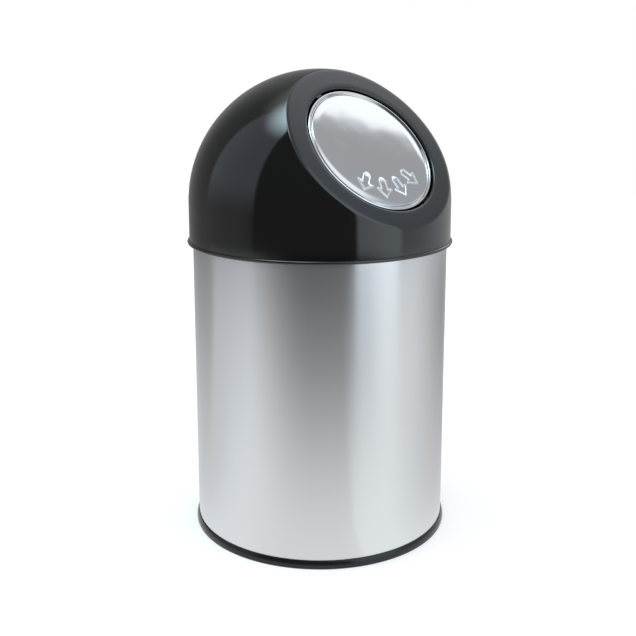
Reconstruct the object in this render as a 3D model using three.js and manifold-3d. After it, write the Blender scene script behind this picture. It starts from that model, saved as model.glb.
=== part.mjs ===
// Dome top waste receptacle: a brushed steel body with a black foot ring, a lift-off black dome with a
// sprung push flap in its sloping face, and a galvanised inner liner with a bail handle.
// Millimetres, +Z up. The origin is the centre of the foot ring's underside, and the flap faces -Y.
import * as THREE from 'three';
import { mergeVertices } from 'three/addons/utils/BufferGeometryUtils.js';
import Module from 'manifold-3d';

const wasm = await Module();
wasm.setup();

// ---------------------------------------------------------------- driving dimensions

// Gap between pieces that touch
const seatGap = 0.3;

// Body tube with its top edge curled inwards
const bodyRadius = 175;
const bodyWall = 1;
const bodyLength = 408.7;
const bodyCurlRadius = 2.5;

// Foot ring that holds the body's lower edge in a groove
const ringFloor = 3;
const ringHeight = 11;
const ringSpread = 3.2;
const ringTopWall = 0.7;
const ringShelfWidth = 14;
const ringGrooveWall = 3.4;
const ringGrooveHeight = 3;
const ringEdgeBevel = 1.2;

// Base pan: a pressed disc with an upturned rim and a raised middle
const panWall = 1.2;
const panRimHeight = 15;
const panMiddleInset = 16;
const panMiddleRise = 4;
const panStepWidth = 6;

// Liner: a tapered pail with its rim curled outwards
const linerWall = 0.8;
const linerHeadroom = 40.2;
const linerSideGap = 19;
const linerTaper = 6;
const linerCurlRadius = 3;
const linerBaseRecess = 6;
const linerBaseWall = 0.9;
const linerBaseRim = 4.5;

// Bail handle, its ears and their rivets
const bailWire = 5;
const bailCornerRadius = 6;
const bailEndReach = 2.7;
const bailPivotRise = 6;
const earWidth = 30;
const earThickness = 1.5;
const earTopMargin = 6;
const earLength = 46;
const earHoleGap = 0.7;
const rivetSideMargin = 7;
const rivetFootMargin = 6;
const rivetShank = 2.2;
const rivetHead = 4.2;
const rivetHeadHeight = 1.4;

// Dome: a half sphere over a straight skirt with a rolled bead, cut by a sloping flat face
const lidWall = 1.2;
const lidClearance = 3.8;
const lidOverlap = 12;
const skirtHeight = 54;
const beadRadius = 2.4;
const beadProud = 2.8;
const faceElevation = THREE.MathUtils.degToRad(39.5);
const faceCutDepth = 49.7;
const faceRounding = 8;

// Opening in the sloping face, with its edge turned in
const faceBorder = 24.24;
const openingDrop = 3.7;
const lipRounding = 3;
const lipDepth = 9;

// Collar inside the skirt: it rests on the body's curl and centres the lid
const collarWall = 1.2;
const collarRimHeight = 12;
const collarDepth = 21;
const collarSideGap = 1;

// Push flap with its edge turned back
const openingGap = 2.5;
const flapWall = 0.8;
const flapRecess = 3.8;
const flapEdgeRounding = 1.6;
const flapRimDepth = 4.7;

// Stop tabs on the flap's rim, with their rubber pads
const stopAngle = THREE.MathUtils.degToRad(35);
const stopWidth = 14;
const stopReach = 6.8;
const padThickness = 2;

// Hinge pin behind the face, above the opening
const pinRadius = 2;
const pinRise = 10;
const pinDepth = 13;
const pinOverhang = 3.6;
const pinGroove = 1.4;
const clipThickness = 0.8;
const clipRadius = 4.4;

// Hinge brackets on the back of the face
const bracketSpread = 43.5;
const bracketWall = 1.5;
const bracketWidth = 15;
const bracketFoot = 12;
const bracketEyeRadius = 5;

// Hinge leaf on the back of the flap: a cross plate with two arms that end in knuckles
const leafWall = 1.2;
const leafSpread = 38;
const leafArmWidth = 10;
const leafEdgeMargin = 24.2;
const leafPlateWidth = 20;
const leafRampLength = 9;
const leafRimGap = 1.4;
const knuckleRadius = 4.2;

// Torsion springs that close the flap
const springWire = 1.6;
const springCoilRadius = 4.1;
const springPitch = 2.25;
const springTurns = 5;
const springInnerEnd = 10;
const springFaceReach = 13;
const springEndInset = 8;

// Fineness of the curved surfaces
const roundSteps = 48;
const smallSteps = 12;
const arcSteps = 3;

// ---------------------------------------------------------------- values worked out from them

const bodyFootZ = ringFloor + seatGap;
const bodyTopZ = bodyFootZ + bodyLength;
const bodyBore = bodyRadius - bodyWall;

const panFootZ = ringFloor + ringGrooveHeight + seatGap;
const panTopZ = panFootZ + panWall + panMiddleRise;
const panMiddleRadius = bodyBore - panMiddleInset;

const linerFootZ = panTopZ + seatGap;
const linerTopZ = bodyTopZ - linerHeadroom;
const linerHeight = linerTopZ - linerFootZ;
const linerTopRadius = bodyRadius - linerSideGap;
const linerFootRadius = linerTopRadius - linerTaper;
const linerCurlCentreRadius = linerTopRadius + linerCurlRadius;
const linerCurlCentreZ = linerTopZ - linerCurlRadius;
const linerOuterRim = linerCurlCentreRadius + linerCurlRadius;

const earInnerX = linerOuterRim + seatGap;
const earOuterX = earInnerX + earThickness;
const bailPivotZ = linerTopZ + bailPivotRise;
const earFootZ = bailPivotZ + earTopMargin - earLength;
const rivetSpacing = earWidth - 2 * rivetSideMargin;
const rivetZ = earFootZ + rivetFootMargin;
const bailRadius = linerCurlCentreRadius;
const bailRestAngle = Math.asin((bailWire / 2 + seatGap - bailPivotRise) / bailRadius);

const skirtBore = bodyRadius + lidClearance;
const domeRadius = skirtBore + lidWall;
const lidFootZ = bodyTopZ - lidOverlap;
const domeCentreZ = lidFootZ + skirtHeight;
const collarFootZ = bodyTopZ + seatGap;

// The ball of the face's rounding touches both the face and the sphere
const faceOffset = domeRadius - faceCutDepth;
const roundingHeight = faceOffset - faceRounding;
const roundingReach = domeRadius - faceRounding;
const flatRadius = Math.sqrt(roundingReach ** 2 - roundingHeight ** 2);
const roundingAngle = Math.acos(roundingHeight / roundingReach);

const openingRadius = flatRadius - faceBorder;
const flapRadius = openingRadius - openingGap;
const pinSlope = openingRadius - openingDrop + pinRise;
const leafPlateHigh = flapRadius - leafEdgeMargin;
const leafPlateLow = leafPlateHigh - leafPlateWidth;
const springLeafEnd = leafPlateHigh - springEndInset;

// ---------------------------------------------------------------- geometry helpers

// Points of an arc from one angle to another, in degrees
function arc(x, y, radius, fromDegrees, toDegrees, steps = arcSteps) {
  const points = [];
  for (let i = 0; i <= steps; i++) {
    const angle = THREE.MathUtils.degToRad(fromDegrees + ((toDegrees - fromDegrees) * i) / steps);
    points.push([x + radius * Math.cos(angle), y + radius * Math.sin(angle)]);
  }
  return points;
}

// Only positions, with shared corners merged and triangles of no area left out
function weld(geometry) {
  const bare = geometry.clone();
  bare.deleteAttribute('normal');
  bare.deleteAttribute('uv');
  const merged = mergeVertices(bare, 1e-4);
  const index = merged.index.array;
  const kept = [];
  for (let i = 0; i < index.length; i += 3) {
    const [a, b, c] = [index[i], index[i + 1], index[i + 2]];
    if (a !== b && b !== c && c !== a) {
      kept.push(a, b, c);
    }
  }
  merged.setIndex(kept);
  return faceOutwards(merged);
}

// Turns every triangle over when the closed surface encloses a negative volume
function faceOutwards(geometry) {
  const at = geometry.attributes.position;
  const index = geometry.index.array;
  const [a, b, c] = [new THREE.Vector3(), new THREE.Vector3(), new THREE.Vector3()];
  let volume = 0;
  for (let i = 0; i < index.length; i += 3) {
    a.fromBufferAttribute(at, index[i]);
    b.fromBufferAttribute(at, index[i + 1]);
    c.fromBufferAttribute(at, index[i + 2]);
    volume += a.dot(b.cross(c));
  }
  if (volume < 0) {
    for (let i = 0; i < index.length; i += 3) {
      [index[i + 1], index[i + 2]] = [index[i + 2], index[i + 1]];
    }
    geometry.setIndex([...index]);
  }
  return geometry;
}

// Closed profile of [radius, height] points turned round the Z axis
function revolve(profile, steps = roundSteps) {
  const outline = [...profile, profile[0]].map(([r, z]) => new THREE.Vector2(r, z));
  const turned = new THREE.LatheGeometry(outline, steps);
  turned.rotateX(Math.PI / 2);
  return weld(turned);
}

// The same round the X axis, for pins and rivets
function revolveAlongX(profile, steps = smallSteps) {
  return weld(revolve(profile, steps).rotateY(Math.PI / 2));
}

// Outline in the YZ plane carried along X from one place to another
function extrudeAlongX(shape, fromX, toX) {
  const solid = new THREE.ExtrudeGeometry(shape, {
    depth: toX - fromX,
    bevelEnabled: false,
    curveSegments: smallSteps / 2,
  });
  const turn = new THREE.Matrix4().makeBasis(
    new THREE.Vector3(0, 1, 0),
    new THREE.Vector3(0, 0, 1),
    new THREE.Vector3(1, 0, 0),
  );
  return weld(solid.applyMatrix4(turn).translate(fromX, 0, 0));
}

// Outline in the XZ plane carried along Y, centred on the XZ plane
function extrudeAlongY(shape, width) {
  const solid = new THREE.ExtrudeGeometry(shape, { depth: width, bevelEnabled: false });
  return weld(solid.rotateX(Math.PI / 2).translate(0, width / 2, 0));
}

function polygon(points) {
  return new THREE.Shape(points.map(([x, y]) => new THREE.Vector2(x, y)));
}

function circleHole(x, y, radius) {
  const hole = new THREE.Path();
  hole.absarc(x, y, radius, 0, 2 * Math.PI, true);
  return hole;
}

// A path given by its points, so that a tube has one ring at each of them
class PointPath extends THREE.Curve {
  constructor(points) {
    super();
    this.points = points;
  }

  getPoint(t, target = new THREE.Vector3()) {
    const place = t * (this.points.length - 1);
    const first = Math.min(Math.floor(place), this.points.length - 2);
    return target.lerpVectors(this.points[first], this.points[first + 1], place - first);
  }

  getPointAt(t, target) {
    return this.getPoint(t, target);
  }

  getTangentAt(t, target = new THREE.Vector3()) {
    const last = this.points.length - 1;
    const nearest = Math.round(t * last);
    const before = this.points[Math.max(nearest - 1, 0)];
    const after = this.points[Math.min(nearest + 1, last)];
    return target.subVectors(after, before).normalize();
  }
}

// Round wire or rod along a path of points
function tube(points, radius, sides) {
  const section = new THREE.Shape();
  for (let i = 0; i < sides; i++) {
    const angle = (2 * Math.PI * i) / sides;
    const [x, y] = [radius * Math.cos(angle), radius * Math.sin(angle)];
    if (i === 0) {
      section.moveTo(x, y);
    } else {
      section.lineTo(x, y);
    }
  }
  return weld(
    new THREE.ExtrudeGeometry(section, {
      steps: points.length - 1,
      extrudePath: new PointPath(points),
      bevelEnabled: false,
    }),
  );
}

// Closed surface over a grid whose rows and columns both run round and meet themselves
function closedGrid(rows) {
  const across = rows[0].length;
  const position = new Float32Array(rows.flat().flatMap((p) => [p.x, p.y, p.z]));
  const index = [];
  for (let i = 0; i < rows.length; i++) {
    const next = (i + 1) % rows.length;
    for (let j = 0; j < across; j++) {
      const beside = (j + 1) % across;
      const [a, b] = [i * across + j, i * across + beside];
      const [c, d] = [next * across + beside, next * across + j];
      index.push(a, b, c, a, c, d);
    }
  }
  const geometry = new THREE.BufferGeometry();
  geometry.setAttribute('position', new THREE.BufferAttribute(position, 3));
  geometry.setIndex(index);
  return faceOutwards(geometry);
}

function toManifold(geometry) {
  return new wasm.Manifold(
    new wasm.Mesh({
      numProp: 3,
      vertProperties: new Float32Array(geometry.attributes.position.array),
      triVerts: new Uint32Array(geometry.index.array),
    }),
  );
}

function fromManifold(solid) {
  const mesh = solid.getMesh();
  const geometry = new THREE.BufferGeometry();
  geometry.setAttribute('position', new THREE.BufferAttribute(new Float32Array(mesh.vertProperties), 3));
  geometry.setIndex([...mesh.triVerts]);
  return geometry;
}

function join(first, ...others) {
  return fromManifold(others.reduce((sum, other) => sum.add(toManifold(other)), toManifold(first)));
}

function cut(first, ...others) {
  return fromManifold(others.reduce((rest, other) => rest.subtract(toManifold(other)), toManifold(first)));
}

function common(first, other) {
  return fromManifold(toManifold(first).intersect(toManifold(other)));
}

// ---------------------------------------------------------------- materials

function finish(color, roughness, metalness) {
  return () => new THREE.MeshStandardMaterial({ color, roughness, metalness });
}

const brushedSteel = finish(0xc9cac9, 0.35, 1);
const polishedSteel = finish(0xdfe1e4, 0.08, 1);
const glossBlack = finish(0x121315, 0.12, 0);
const blackPlastic = finish(0x1a1b1c, 0.35, 0);
const galvanisedSteel = finish(0xb2b7bb, 0.45, 1);
const springSteel = finish(0x8f9296, 0.3, 1);
const rubber = finish(0x1c1c1c, 0.9, 0);

const receptacle = new THREE.Group();

function place(group, name, geometry, material) {
  const mesh = new THREE.Mesh(geometry, material());
  mesh.name = name;
  group.add(mesh);
}

// ---------------------------------------------------------------- body, foot ring and pan

// Straight tube whose top edge curls in over itself
function bodyShell() {
  const curlX = bodyRadius - bodyCurlRadius;
  const curlZ = bodyTopZ - bodyCurlRadius;
  return revolve([
    [bodyRadius, bodyFootZ],
    ...arc(curlX, curlZ, bodyCurlRadius, 0, 200, 2 * arcSteps),
    ...arc(curlX, curlZ, bodyCurlRadius - bodyWall, 200, 0, 2 * arcSteps),
    [bodyBore, bodyFootZ],
  ]);
}

// Ring with a groove for the body's edge, a shelf for the pan and a skirt that thins upwards
function baseRing() {
  const grooveOuter = bodyRadius + seatGap;
  const grooveInner = bodyBore - seatGap;
  const footOuter = grooveOuter + ringSpread;
  const shelfTop = ringFloor + ringGrooveHeight;
  return revolve([
    [bodyRadius - ringShelfWidth, 0],
    [footOuter - ringEdgeBevel, 0],
    ...arc(footOuter - ringEdgeBevel, ringEdgeBevel, ringEdgeBevel, -60, 0, 2),
    [grooveOuter + ringTopWall + 0.3 * ringSpread, 0.75 * ringHeight],
    [grooveOuter + ringTopWall, ringHeight],
    [grooveOuter, ringHeight],
    [grooveOuter, ringFloor],
    [grooveInner, ringFloor],
    [grooveInner, shelfTop],
    [grooveInner - ringGrooveWall, shelfTop],
    [grooveInner - ringGrooveWall, ringFloor],
    [bodyRadius - ringShelfWidth, ringFloor],
  ]);
}

// Disc on the ring's shelf, with its rim turned up along the tube and its middle pressed up
function basePan() {
  const rimOuter = bodyBore - seatGap;
  const top = panFootZ + panWall;
  const stepOuter = panMiddleRadius + panStepWidth;
  return revolve([
    [0, panFootZ + panMiddleRise],
    [panMiddleRadius, panFootZ + panMiddleRise],
    [stepOuter, panFootZ],
    [rimOuter - panWall, panFootZ],
    [rimOuter, top],
    [rimOuter, panFootZ + panRimHeight],
    [rimOuter - panWall, panFootZ + panRimHeight],
    [rimOuter - panWall, top],
    [stepOuter, top],
    [panMiddleRadius, panTopZ],
    [0, panTopZ],
  ]);
}

place(receptacle, 'body_shell', bodyShell(), brushedSteel);
place(receptacle, 'base_ring', baseRing(), blackPlastic);
place(receptacle, 'base_pan', basePan(), galvanisedSteel);

// ---------------------------------------------------------------- liner and bail

// Inner radius of the liner's wall at a height
function linerBore(z) {
  const share = (z - linerFootZ) / (linerCurlCentreZ - linerFootZ);
  return linerFootRadius + (linerTopRadius - linerFootRadius) * share;
}

const rivetWallX = linerBore(rivetZ);

function rivetPlaces() {
  const places = [];
  for (const side of [-1, 1]) {
    for (const along of [-1, 1]) {
      places.push({ side, y: (along * rivetSpacing) / 2 });
    }
  }
  return places;
}

// Rod along X through the wall at one rivet
function rivetHole({ side, y }) {
  const reach = 4 * rivetHeadHeight;
  const rod = revolveAlongX([
    [0, -reach],
    [rivetShank + seatGap, -reach],
    [rivetShank + seatGap, reach],
    [0, reach],
  ]);
  return rod.translate(side * rivetWallX, y, rivetZ);
}

// Tapered wall whose top edge curls outwards
function linerWallSolid() {
  const wall = revolve([
    [linerFootRadius, linerFootZ],
    ...arc(linerCurlCentreRadius, linerCurlCentreZ, linerCurlRadius, 180, -40, 2 * arcSteps),
    ...arc(linerCurlCentreRadius, linerCurlCentreZ, linerCurlRadius - linerWall, -40, 180, 2 * arcSteps),
    [linerFootRadius + linerWall, linerFootZ],
  ]);
  return cut(wall, ...rivetPlaces().map(rivetHole));
}

// Recessed disc with its rim turned down inside the wall
function linerBase() {
  const top = linerFootZ + linerBaseRecess;
  const rim = linerBore(top - linerBaseRim) - seatGap;
  return revolve([
    [0, top - linerBaseWall],
    [rim - linerBaseWall, top - linerBaseWall],
    [rim - linerBaseWall, top - linerBaseRim],
    [rim, top - linerBaseRim],
    [rim, top],
    [0, top],
  ]);
}

// Strap that lies on the wall, steps out round the curl and ends in a round eye above it
function bailEar(side) {
  const curlLowZ = linerCurlCentreZ - linerCurlRadius;
  const wallAt = (z) => linerBore(z) + linerWall + seatGap;
  const stepZ = curlLowZ - earThickness;
  const bendZ = stepZ - 2 * linerCurlRadius;
  const topZ = bailPivotZ + earTopMargin;
  const inner = [
    [wallAt(earFootZ), earFootZ],
    [wallAt(bendZ), bendZ],
    [earInnerX, stepZ],
    [earInnerX, topZ],
  ];
  const outer = inner.map(([x, z]) => [x + earThickness, z]).reverse();
  const strap = extrudeAlongY(polygon([...inner, ...outer].map(([x, z]) => [side * x, z])), earWidth);
  const half = earWidth / 2;
  const outline = new THREE.Shape();
  outline.moveTo(-half, earFootZ);
  outline.lineTo(half, earFootZ);
  outline.lineTo(half, stepZ);
  outline.lineTo(earTopMargin, topZ);
  outline.lineTo(-earTopMargin, topZ);
  outline.lineTo(-half, stepZ);
  outline.holes.push(circleHole(0, bailPivotZ, bailWire / 2 + earHoleGap));
  for (const along of [-1, 1]) {
    outline.holes.push(circleHole((along * rivetSpacing) / 2, rivetZ, rivetShank + seatGap));
  }
  const [fromX, toX] = [side * linerFootRadius, side * (earOuterX + earThickness)].sort((a, b) => a - b);
  return common(strap, extrudeAlongX(outline, fromX, toX));
}

// Rivet through wall and ear, with a head inside and a flatter one outside
function earRivet({ side, y }) {
  const chord = rivetWallX - Math.sqrt(rivetWallX ** 2 - (Math.abs(y) + rivetHead) ** 2);
  const innerFace = -seatGap - chord;
  const outerFace = linerWall + earThickness + 2 * seatGap;
  const slopeRoom = rivetHead * ((linerTopRadius - linerFootRadius) / linerHeight);
  const [low, high] = [innerFace - slopeRoom, outerFace + slopeRoom];
  const rivet = revolveAlongX([
    [0, low - rivetHeadHeight],
    [0.6 * rivetHead, low - rivetHeadHeight],
    [rivetHead, low - 0.4 * rivetHeadHeight],
    [rivetHead, low],
    [rivetShank, low],
    [rivetShank, high],
    [rivetHead, high],
    [rivetHead, high + 0.4 * rivetHeadHeight],
    [0.6 * rivetHead, high + rivetHeadHeight],
    [0, high + rivetHeadHeight],
  ]);
  if (side < 0) {
    rivet.rotateY(Math.PI);
  }
  return rivet.translate(side * rivetWallX, y, rivetZ);
}

// Wire half ring with a short end through each ear, lying forward on the liner's rim
function bailHandle() {
  const endX = earOuterX + bailEndReach;
  const points = [new THREE.Vector3(-endX, 0, 0), new THREE.Vector3(-earInnerX, 0, 0)];
  const corner = bailCornerRadius / bailRadius;
  const cornerStart = bailRadius - 0.15 * bailCornerRadius;
  points.push(new THREE.Vector3(-cornerStart, 0.12 * bailCornerRadius, 0));
  const steps = 32;
  for (let i = 0; i <= steps; i++) {
    const angle = corner / 2 + ((Math.PI - corner) * i) / steps;
    points.push(new THREE.Vector3(-bailRadius * Math.cos(angle), bailRadius * Math.sin(angle), 0));
  }
  points.push(new THREE.Vector3(cornerStart, 0.12 * bailCornerRadius, 0));
  points.push(new THREE.Vector3(earInnerX, 0, 0), new THREE.Vector3(endX, 0, 0));
  const bail = tube(points, bailWire / 2, 8);
  bail.rotateZ(Math.PI);
  bail.rotateX(-bailRestAngle);
  return bail.translate(0, 0, bailPivotZ);
}

place(receptacle, 'liner_wall', linerWallSolid(), galvanisedSteel);
place(receptacle, 'liner_base', linerBase(), galvanisedSteel);
place(receptacle, 'bail_ear_left', bailEar(-1), galvanisedSteel);
place(receptacle, 'bail_ear_right', bailEar(1), galvanisedSteel);
rivetPlaces().forEach((spot, i) => {
  place(receptacle, `ear_rivet_${i + 1}`, earRivet(spot), galvanisedSteel);
});
place(receptacle, 'bail_handle', bailHandle(), springSteel);

// ---------------------------------------------------------------- dome and collar

const centre = new THREE.Vector3(0, 0, domeCentreZ);
const faceNormal = new THREE.Vector3(0, -Math.cos(faceElevation), Math.sin(faceElevation));
const faceUp = new THREE.Vector3(0, Math.sin(faceElevation), Math.cos(faceElevation));

// Unit vector in the face's plane: 0 points down the slope, a quarter turn points to +X
function inFace(turn) {
  return faceUp.clone().multiplyScalar(-Math.cos(turn)).setX(Math.sin(turn));
}

// Point near the face, from its turn, its radius about a centre on the slope, and its depth
function facePoint(turn, radius, depth, slope = 0) {
  return centre
    .clone()
    .addScaledVector(faceNormal, faceOffset - depth)
    .addScaledVector(faceUp, slope)
    .addScaledVector(inFace(turn), radius);
}

// Distance from the dome's centre along a direction: a sphere above the centre, a tube below it
function domeReach(direction, radius) {
  return direction.z < 0 ? radius / Math.hypot(direction.x, direction.y) : radius;
}

// Direction a share of the way along the great circle between two others
function between(first, second, share) {
  const angle = first.angleTo(second);
  const [a, b] = [Math.sin((1 - share) * angle), Math.sin(share * angle)];
  return first.clone().multiplyScalar(a).addScaledVector(second, b).normalize();
}

const beadCentreZ = lidFootZ + beadRadius;
const skirtLineZ = collarFootZ + collarWall + collarRimHeight + seatGap;
const skirtLineAngle = Math.atan((domeCentreZ - skirtLineZ) / domeRadius);
// The first band below the rounding passes through the dome's pole at the back of the face
const edgeToPole = Math.PI / 2 - faceElevation - roundingAngle;
const poleShare = edgeToPole / (edgeToPole + Math.PI / 2 + skirtLineAngle);
const domeBands = 10;
const beadCentreRadius = domeRadius + beadProud - beadRadius;

// One skin of the dome from the lip of the opening over face, rounding and sphere to the bead's top
function domeSkin(turn, inset) {
  const points = [facePoint(turn, openingRadius + inset, lipDepth, -openingDrop)];
  const lipCentre = openingRadius + lipRounding;
  for (const [radius, depth] of arc(lipCentre, lipRounding, lipRounding - inset, 180, 90)) {
    points.push(facePoint(turn, radius, 2 * lipRounding - depth, -openingDrop));
  }
  for (let i = 0; i <= arcSteps; i++) {
    const angle = (roundingAngle * i) / arcSteps;
    const round = faceRounding - inset;
    const depth = faceRounding - round * Math.cos(angle);
    const point = facePoint(turn, flatRadius + round * Math.sin(angle), depth).sub(centre);
    const swell = domeReach(point.clone().normalize(), 1);
    points.push(point.multiplyScalar(1 + ((swell - 1) * i) / arcSteps).add(centre));
  }
  const edge = faceNormal.clone().multiplyScalar(Math.cos(roundingAngle));
  edge.addScaledVector(inFace(turn), Math.sin(roundingAngle));
  const foot = new THREE.Vector3(domeRadius * Math.sin(turn), -domeRadius * Math.cos(turn), 0);
  foot.setZ(skirtLineZ - domeCentreZ).normalize();
  for (let i = 0; i < domeBands; i++) {
    const share = THREE.MathUtils.lerp(poleShare, 1, i / (domeBands - 1));
    const direction = between(edge, foot, share);
    const reach = domeReach(direction, domeRadius - inset);
    points.push(direction.multiplyScalar(reach).add(centre));
  }
  return points;
}

// Rolled bead below the skirt, from the outer skin round to the inner one
function beadSection(turn) {
  const outline = [
    ...arc(beadCentreRadius, beadCentreZ, beadRadius, 100, -170, 2 * arcSteps),
    [skirtBore, beadCentreZ + beadRadius],
  ];
  return outline.map(
    ([radius, z]) => new THREE.Vector3(radius * Math.sin(turn), -radius * Math.cos(turn), z),
  );
}

// Pressed shell with one opening: each row is the section at one turn about the face's normal
function domeShell() {
  const rows = [];
  for (let i = 0; i < roundSteps; i++) {
    const turn = (2 * Math.PI * i) / roundSteps;
    rows.push([...domeSkin(turn, 0), ...beadSection(turn), ...domeSkin(turn, lidWall).reverse()]);
  }
  return closedGrid(rows);
}

// Z section: rim on the skirt, flange on the body's curl, and a skirt that drops inside the tube
function lidCollar() {
  const rimOuter = skirtBore - seatGap;
  const guideOuter = bodyRadius - 2 * bodyCurlRadius - collarSideGap;
  const flangeTop = collarFootZ + collarWall;
  return revolve([
    [guideOuter - collarWall, flangeTop],
    [guideOuter - collarWall, collarFootZ - collarDepth],
    [guideOuter, collarFootZ - collarDepth],
    [guideOuter, collarFootZ],
    [rimOuter, collarFootZ],
    [rimOuter, flangeTop + collarRimHeight],
    [rimOuter - collarWall, flangeTop + collarRimHeight],
    [rimOuter - collarWall, flangeTop],
  ]);
}

place(receptacle, 'dome_shell', domeShell(), glossBlack);
place(receptacle, 'lid_collar', lidCollar(), blackPlastic);

// ---------------------------------------------------------------- flap and hinge

// This group's X runs along the hinge, Y up the slope and Z out of the face, from the face's middle
const face = new THREE.Group();
face.position.copy(centre).addScaledVector(faceNormal, faceOffset);
face.rotation.x = Math.PI / 2 - faceElevation;
receptacle.add(face);

const flapBack = flapRecess + flapWall;
const flapRimEnd = flapRecess + flapRimDepth;
const padTop = lipDepth + seatGap;
const tabTop = padTop + padThickness + seatGap;
const leafTop = flapBack + seatGap;
const armTop = flapRimEnd + leafRimGap;

// Disc with a rounded edge and its rim turned back, and a tab on the rim at each stop
function flapPanel() {
  const edge = flapRadius - flapEdgeRounding;
  const disc = revolve([
    [0, -flapRecess],
    ...arc(edge, -flapRecess - flapEdgeRounding, flapEdgeRounding, 90, 0),
    [flapRadius, -flapRimEnd],
    [flapRadius - flapWall, -flapRimEnd],
    ...arc(edge, -flapRecess - flapEdgeRounding, flapEdgeRounding - flapWall, 0, 90, 2),
    [0, -flapBack],
  ]).translate(0, -openingDrop, 0);
  return join(disc, stopTab(-1), stopTab(1));
}

// Piece laid out along X at the flap's rim, turned to a stop's place
function atStop(side, geometry) {
  return geometry.rotateZ(-Math.PI / 2 + side * stopAngle).translate(0, -openingDrop, 0);
}

// Angle whose leg is one with the rim and whose foot reaches out behind the lip
function stopTab(side) {
  const inner = flapRadius - flapWall;
  const section = polygon([
    [inner, -flapRimEnd + flapWall],
    [flapRadius, -flapRimEnd + flapWall],
    [flapRadius, -tabTop],
    [flapRadius + stopReach, -tabTop],
    [flapRadius + stopReach, -tabTop - flapWall],
    [inner, -tabTop - flapWall],
  ]);
  return atStop(side, extrudeAlongY(section, stopWidth));
}

// Rubber block between the stop tab and the end of the lip
function stopPad(side) {
  const section = polygon([
    [flapRadius + seatGap, -padTop],
    [flapRadius + stopReach - seatGap, -padTop],
    [flapRadius + stopReach - seatGap, -padTop - padThickness],
    [flapRadius + seatGap, -padTop - padThickness],
  ]);
  return atStop(side, extrudeAlongY(section, stopWidth - 2 * seatGap));
}

// Cross plate with two arms that step back over the flap's rim and end in knuckles
function hingeLeaf() {
  const [high, ramp] = [leafPlateHigh, leafPlateHigh + leafRampLength];
  const arm = polygon([
    [leafPlateLow, -leafTop],
    [high, -leafTop],
    [ramp, -armTop],
    [pinSlope, -armTop],
    [pinSlope, -armTop - leafWall],
    [ramp, -armTop - leafWall],
    [high, -leafTop - leafWall],
    [leafPlateLow, -leafTop - leafWall],
  ]);
  const plate = polygon([
    [leafPlateLow, -leafTop],
    [high, -leafTop],
    [high, -leafTop - leafWall],
    [leafPlateLow, -leafTop - leafWall],
  ]);
  const knuckle = new THREE.Shape();
  knuckle.absarc(pinSlope, -pinDepth, knuckleRadius, 0, 2 * Math.PI, false);
  const bore = new THREE.Shape();
  bore.absarc(pinSlope, -pinDepth, pinRadius + seatGap, 0, 2 * Math.PI, false);
  const pieces = [extrudeAlongX(plate, -leafSpread, leafSpread)];
  for (const fromX of [-leafSpread, leafSpread - leafArmWidth]) {
    const toX = fromX + leafArmWidth;
    pieces.push(extrudeAlongX(arm, fromX, toX), extrudeAlongX(knuckle, fromX, toX));
  }
  return cut(join(...pieces), extrudeAlongX(bore, -leafSpread - leafWall, leafSpread + leafWall));
}

const grooveWidth = clipThickness + 2 * seatGap;
const clipPlace = bracketSpread + seatGap + clipThickness / 2 + seatGap;

// Pin with a turned groove near each end
function hingePin() {
  const end = bracketSpread + pinOverhang;
  const [near, far] = [clipPlace - grooveWidth / 2, clipPlace + grooveWidth / 2];
  const half = [
    [pinRadius, near],
    [pinGroove, near],
    [pinGroove, far],
    [pinRadius, far],
    [pinRadius, end],
    [0, end],
  ];
  const mirrored = half.map(([r, x]) => [r, -x]).reverse();
  return revolveAlongX([...mirrored, ...half]).translate(0, pinSlope, -pinDepth);
}

// Open ring that snaps into the pin's groove
function pinClip(side) {
  const opening = 0.5;
  const clip = new THREE.Shape();
  clip.absarc(0, 0, clipRadius, opening, 2 * Math.PI - opening, false);
  clip.absarc(0, 0, pinGroove + seatGap, 2 * Math.PI - opening, opening, true);
  const middle = side * clipPlace;
  const ring = extrudeAlongX(clip, middle - clipThickness / 2, middle + clipThickness / 2);
  return ring.translate(0, pinSlope, -pinDepth);
}

// Angle bracket: a foot on the back of the face and an ear with a round eye for the pin
function hingeBracket(side) {
  const faceBack = lidWall + seatGap;
  const half = bracketWidth / 2;
  const ear = new THREE.Shape();
  ear.moveTo(pinSlope - half, -faceBack);
  ear.lineTo(pinSlope - bracketEyeRadius, -pinDepth);
  ear.absarc(pinSlope, -pinDepth, bracketEyeRadius, Math.PI, 2 * Math.PI, false);
  ear.lineTo(pinSlope + half, -faceBack);
  ear.holes.push(circleHole(pinSlope, -pinDepth, pinRadius + seatGap));
  const foot = polygon([
    [pinSlope - half, -faceBack],
    [pinSlope - half, -faceBack - bracketWall],
    [pinSlope + half, -faceBack - bracketWall],
    [pinSlope + half, -faceBack],
  ]);
  const span = (from, to) => [side * from, side * to].sort((a, b) => a - b);
  const inner = bracketSpread - bracketWall;
  return join(
    extrudeAlongX(ear, ...span(inner, bracketSpread)),
    extrudeAlongX(foot, ...span(inner - bracketFoot, bracketSpread)),
  );
}

// Place where a line from a point touches the coil, on the side given by its sign
function tangentAngle(y, z, sign) {
  const [dy, dz] = [y - pinSlope, z + pinDepth];
  return Math.atan2(dz, dy) + sign * Math.acos(springCoilRadius / Math.hypot(dy, dz));
}

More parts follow.
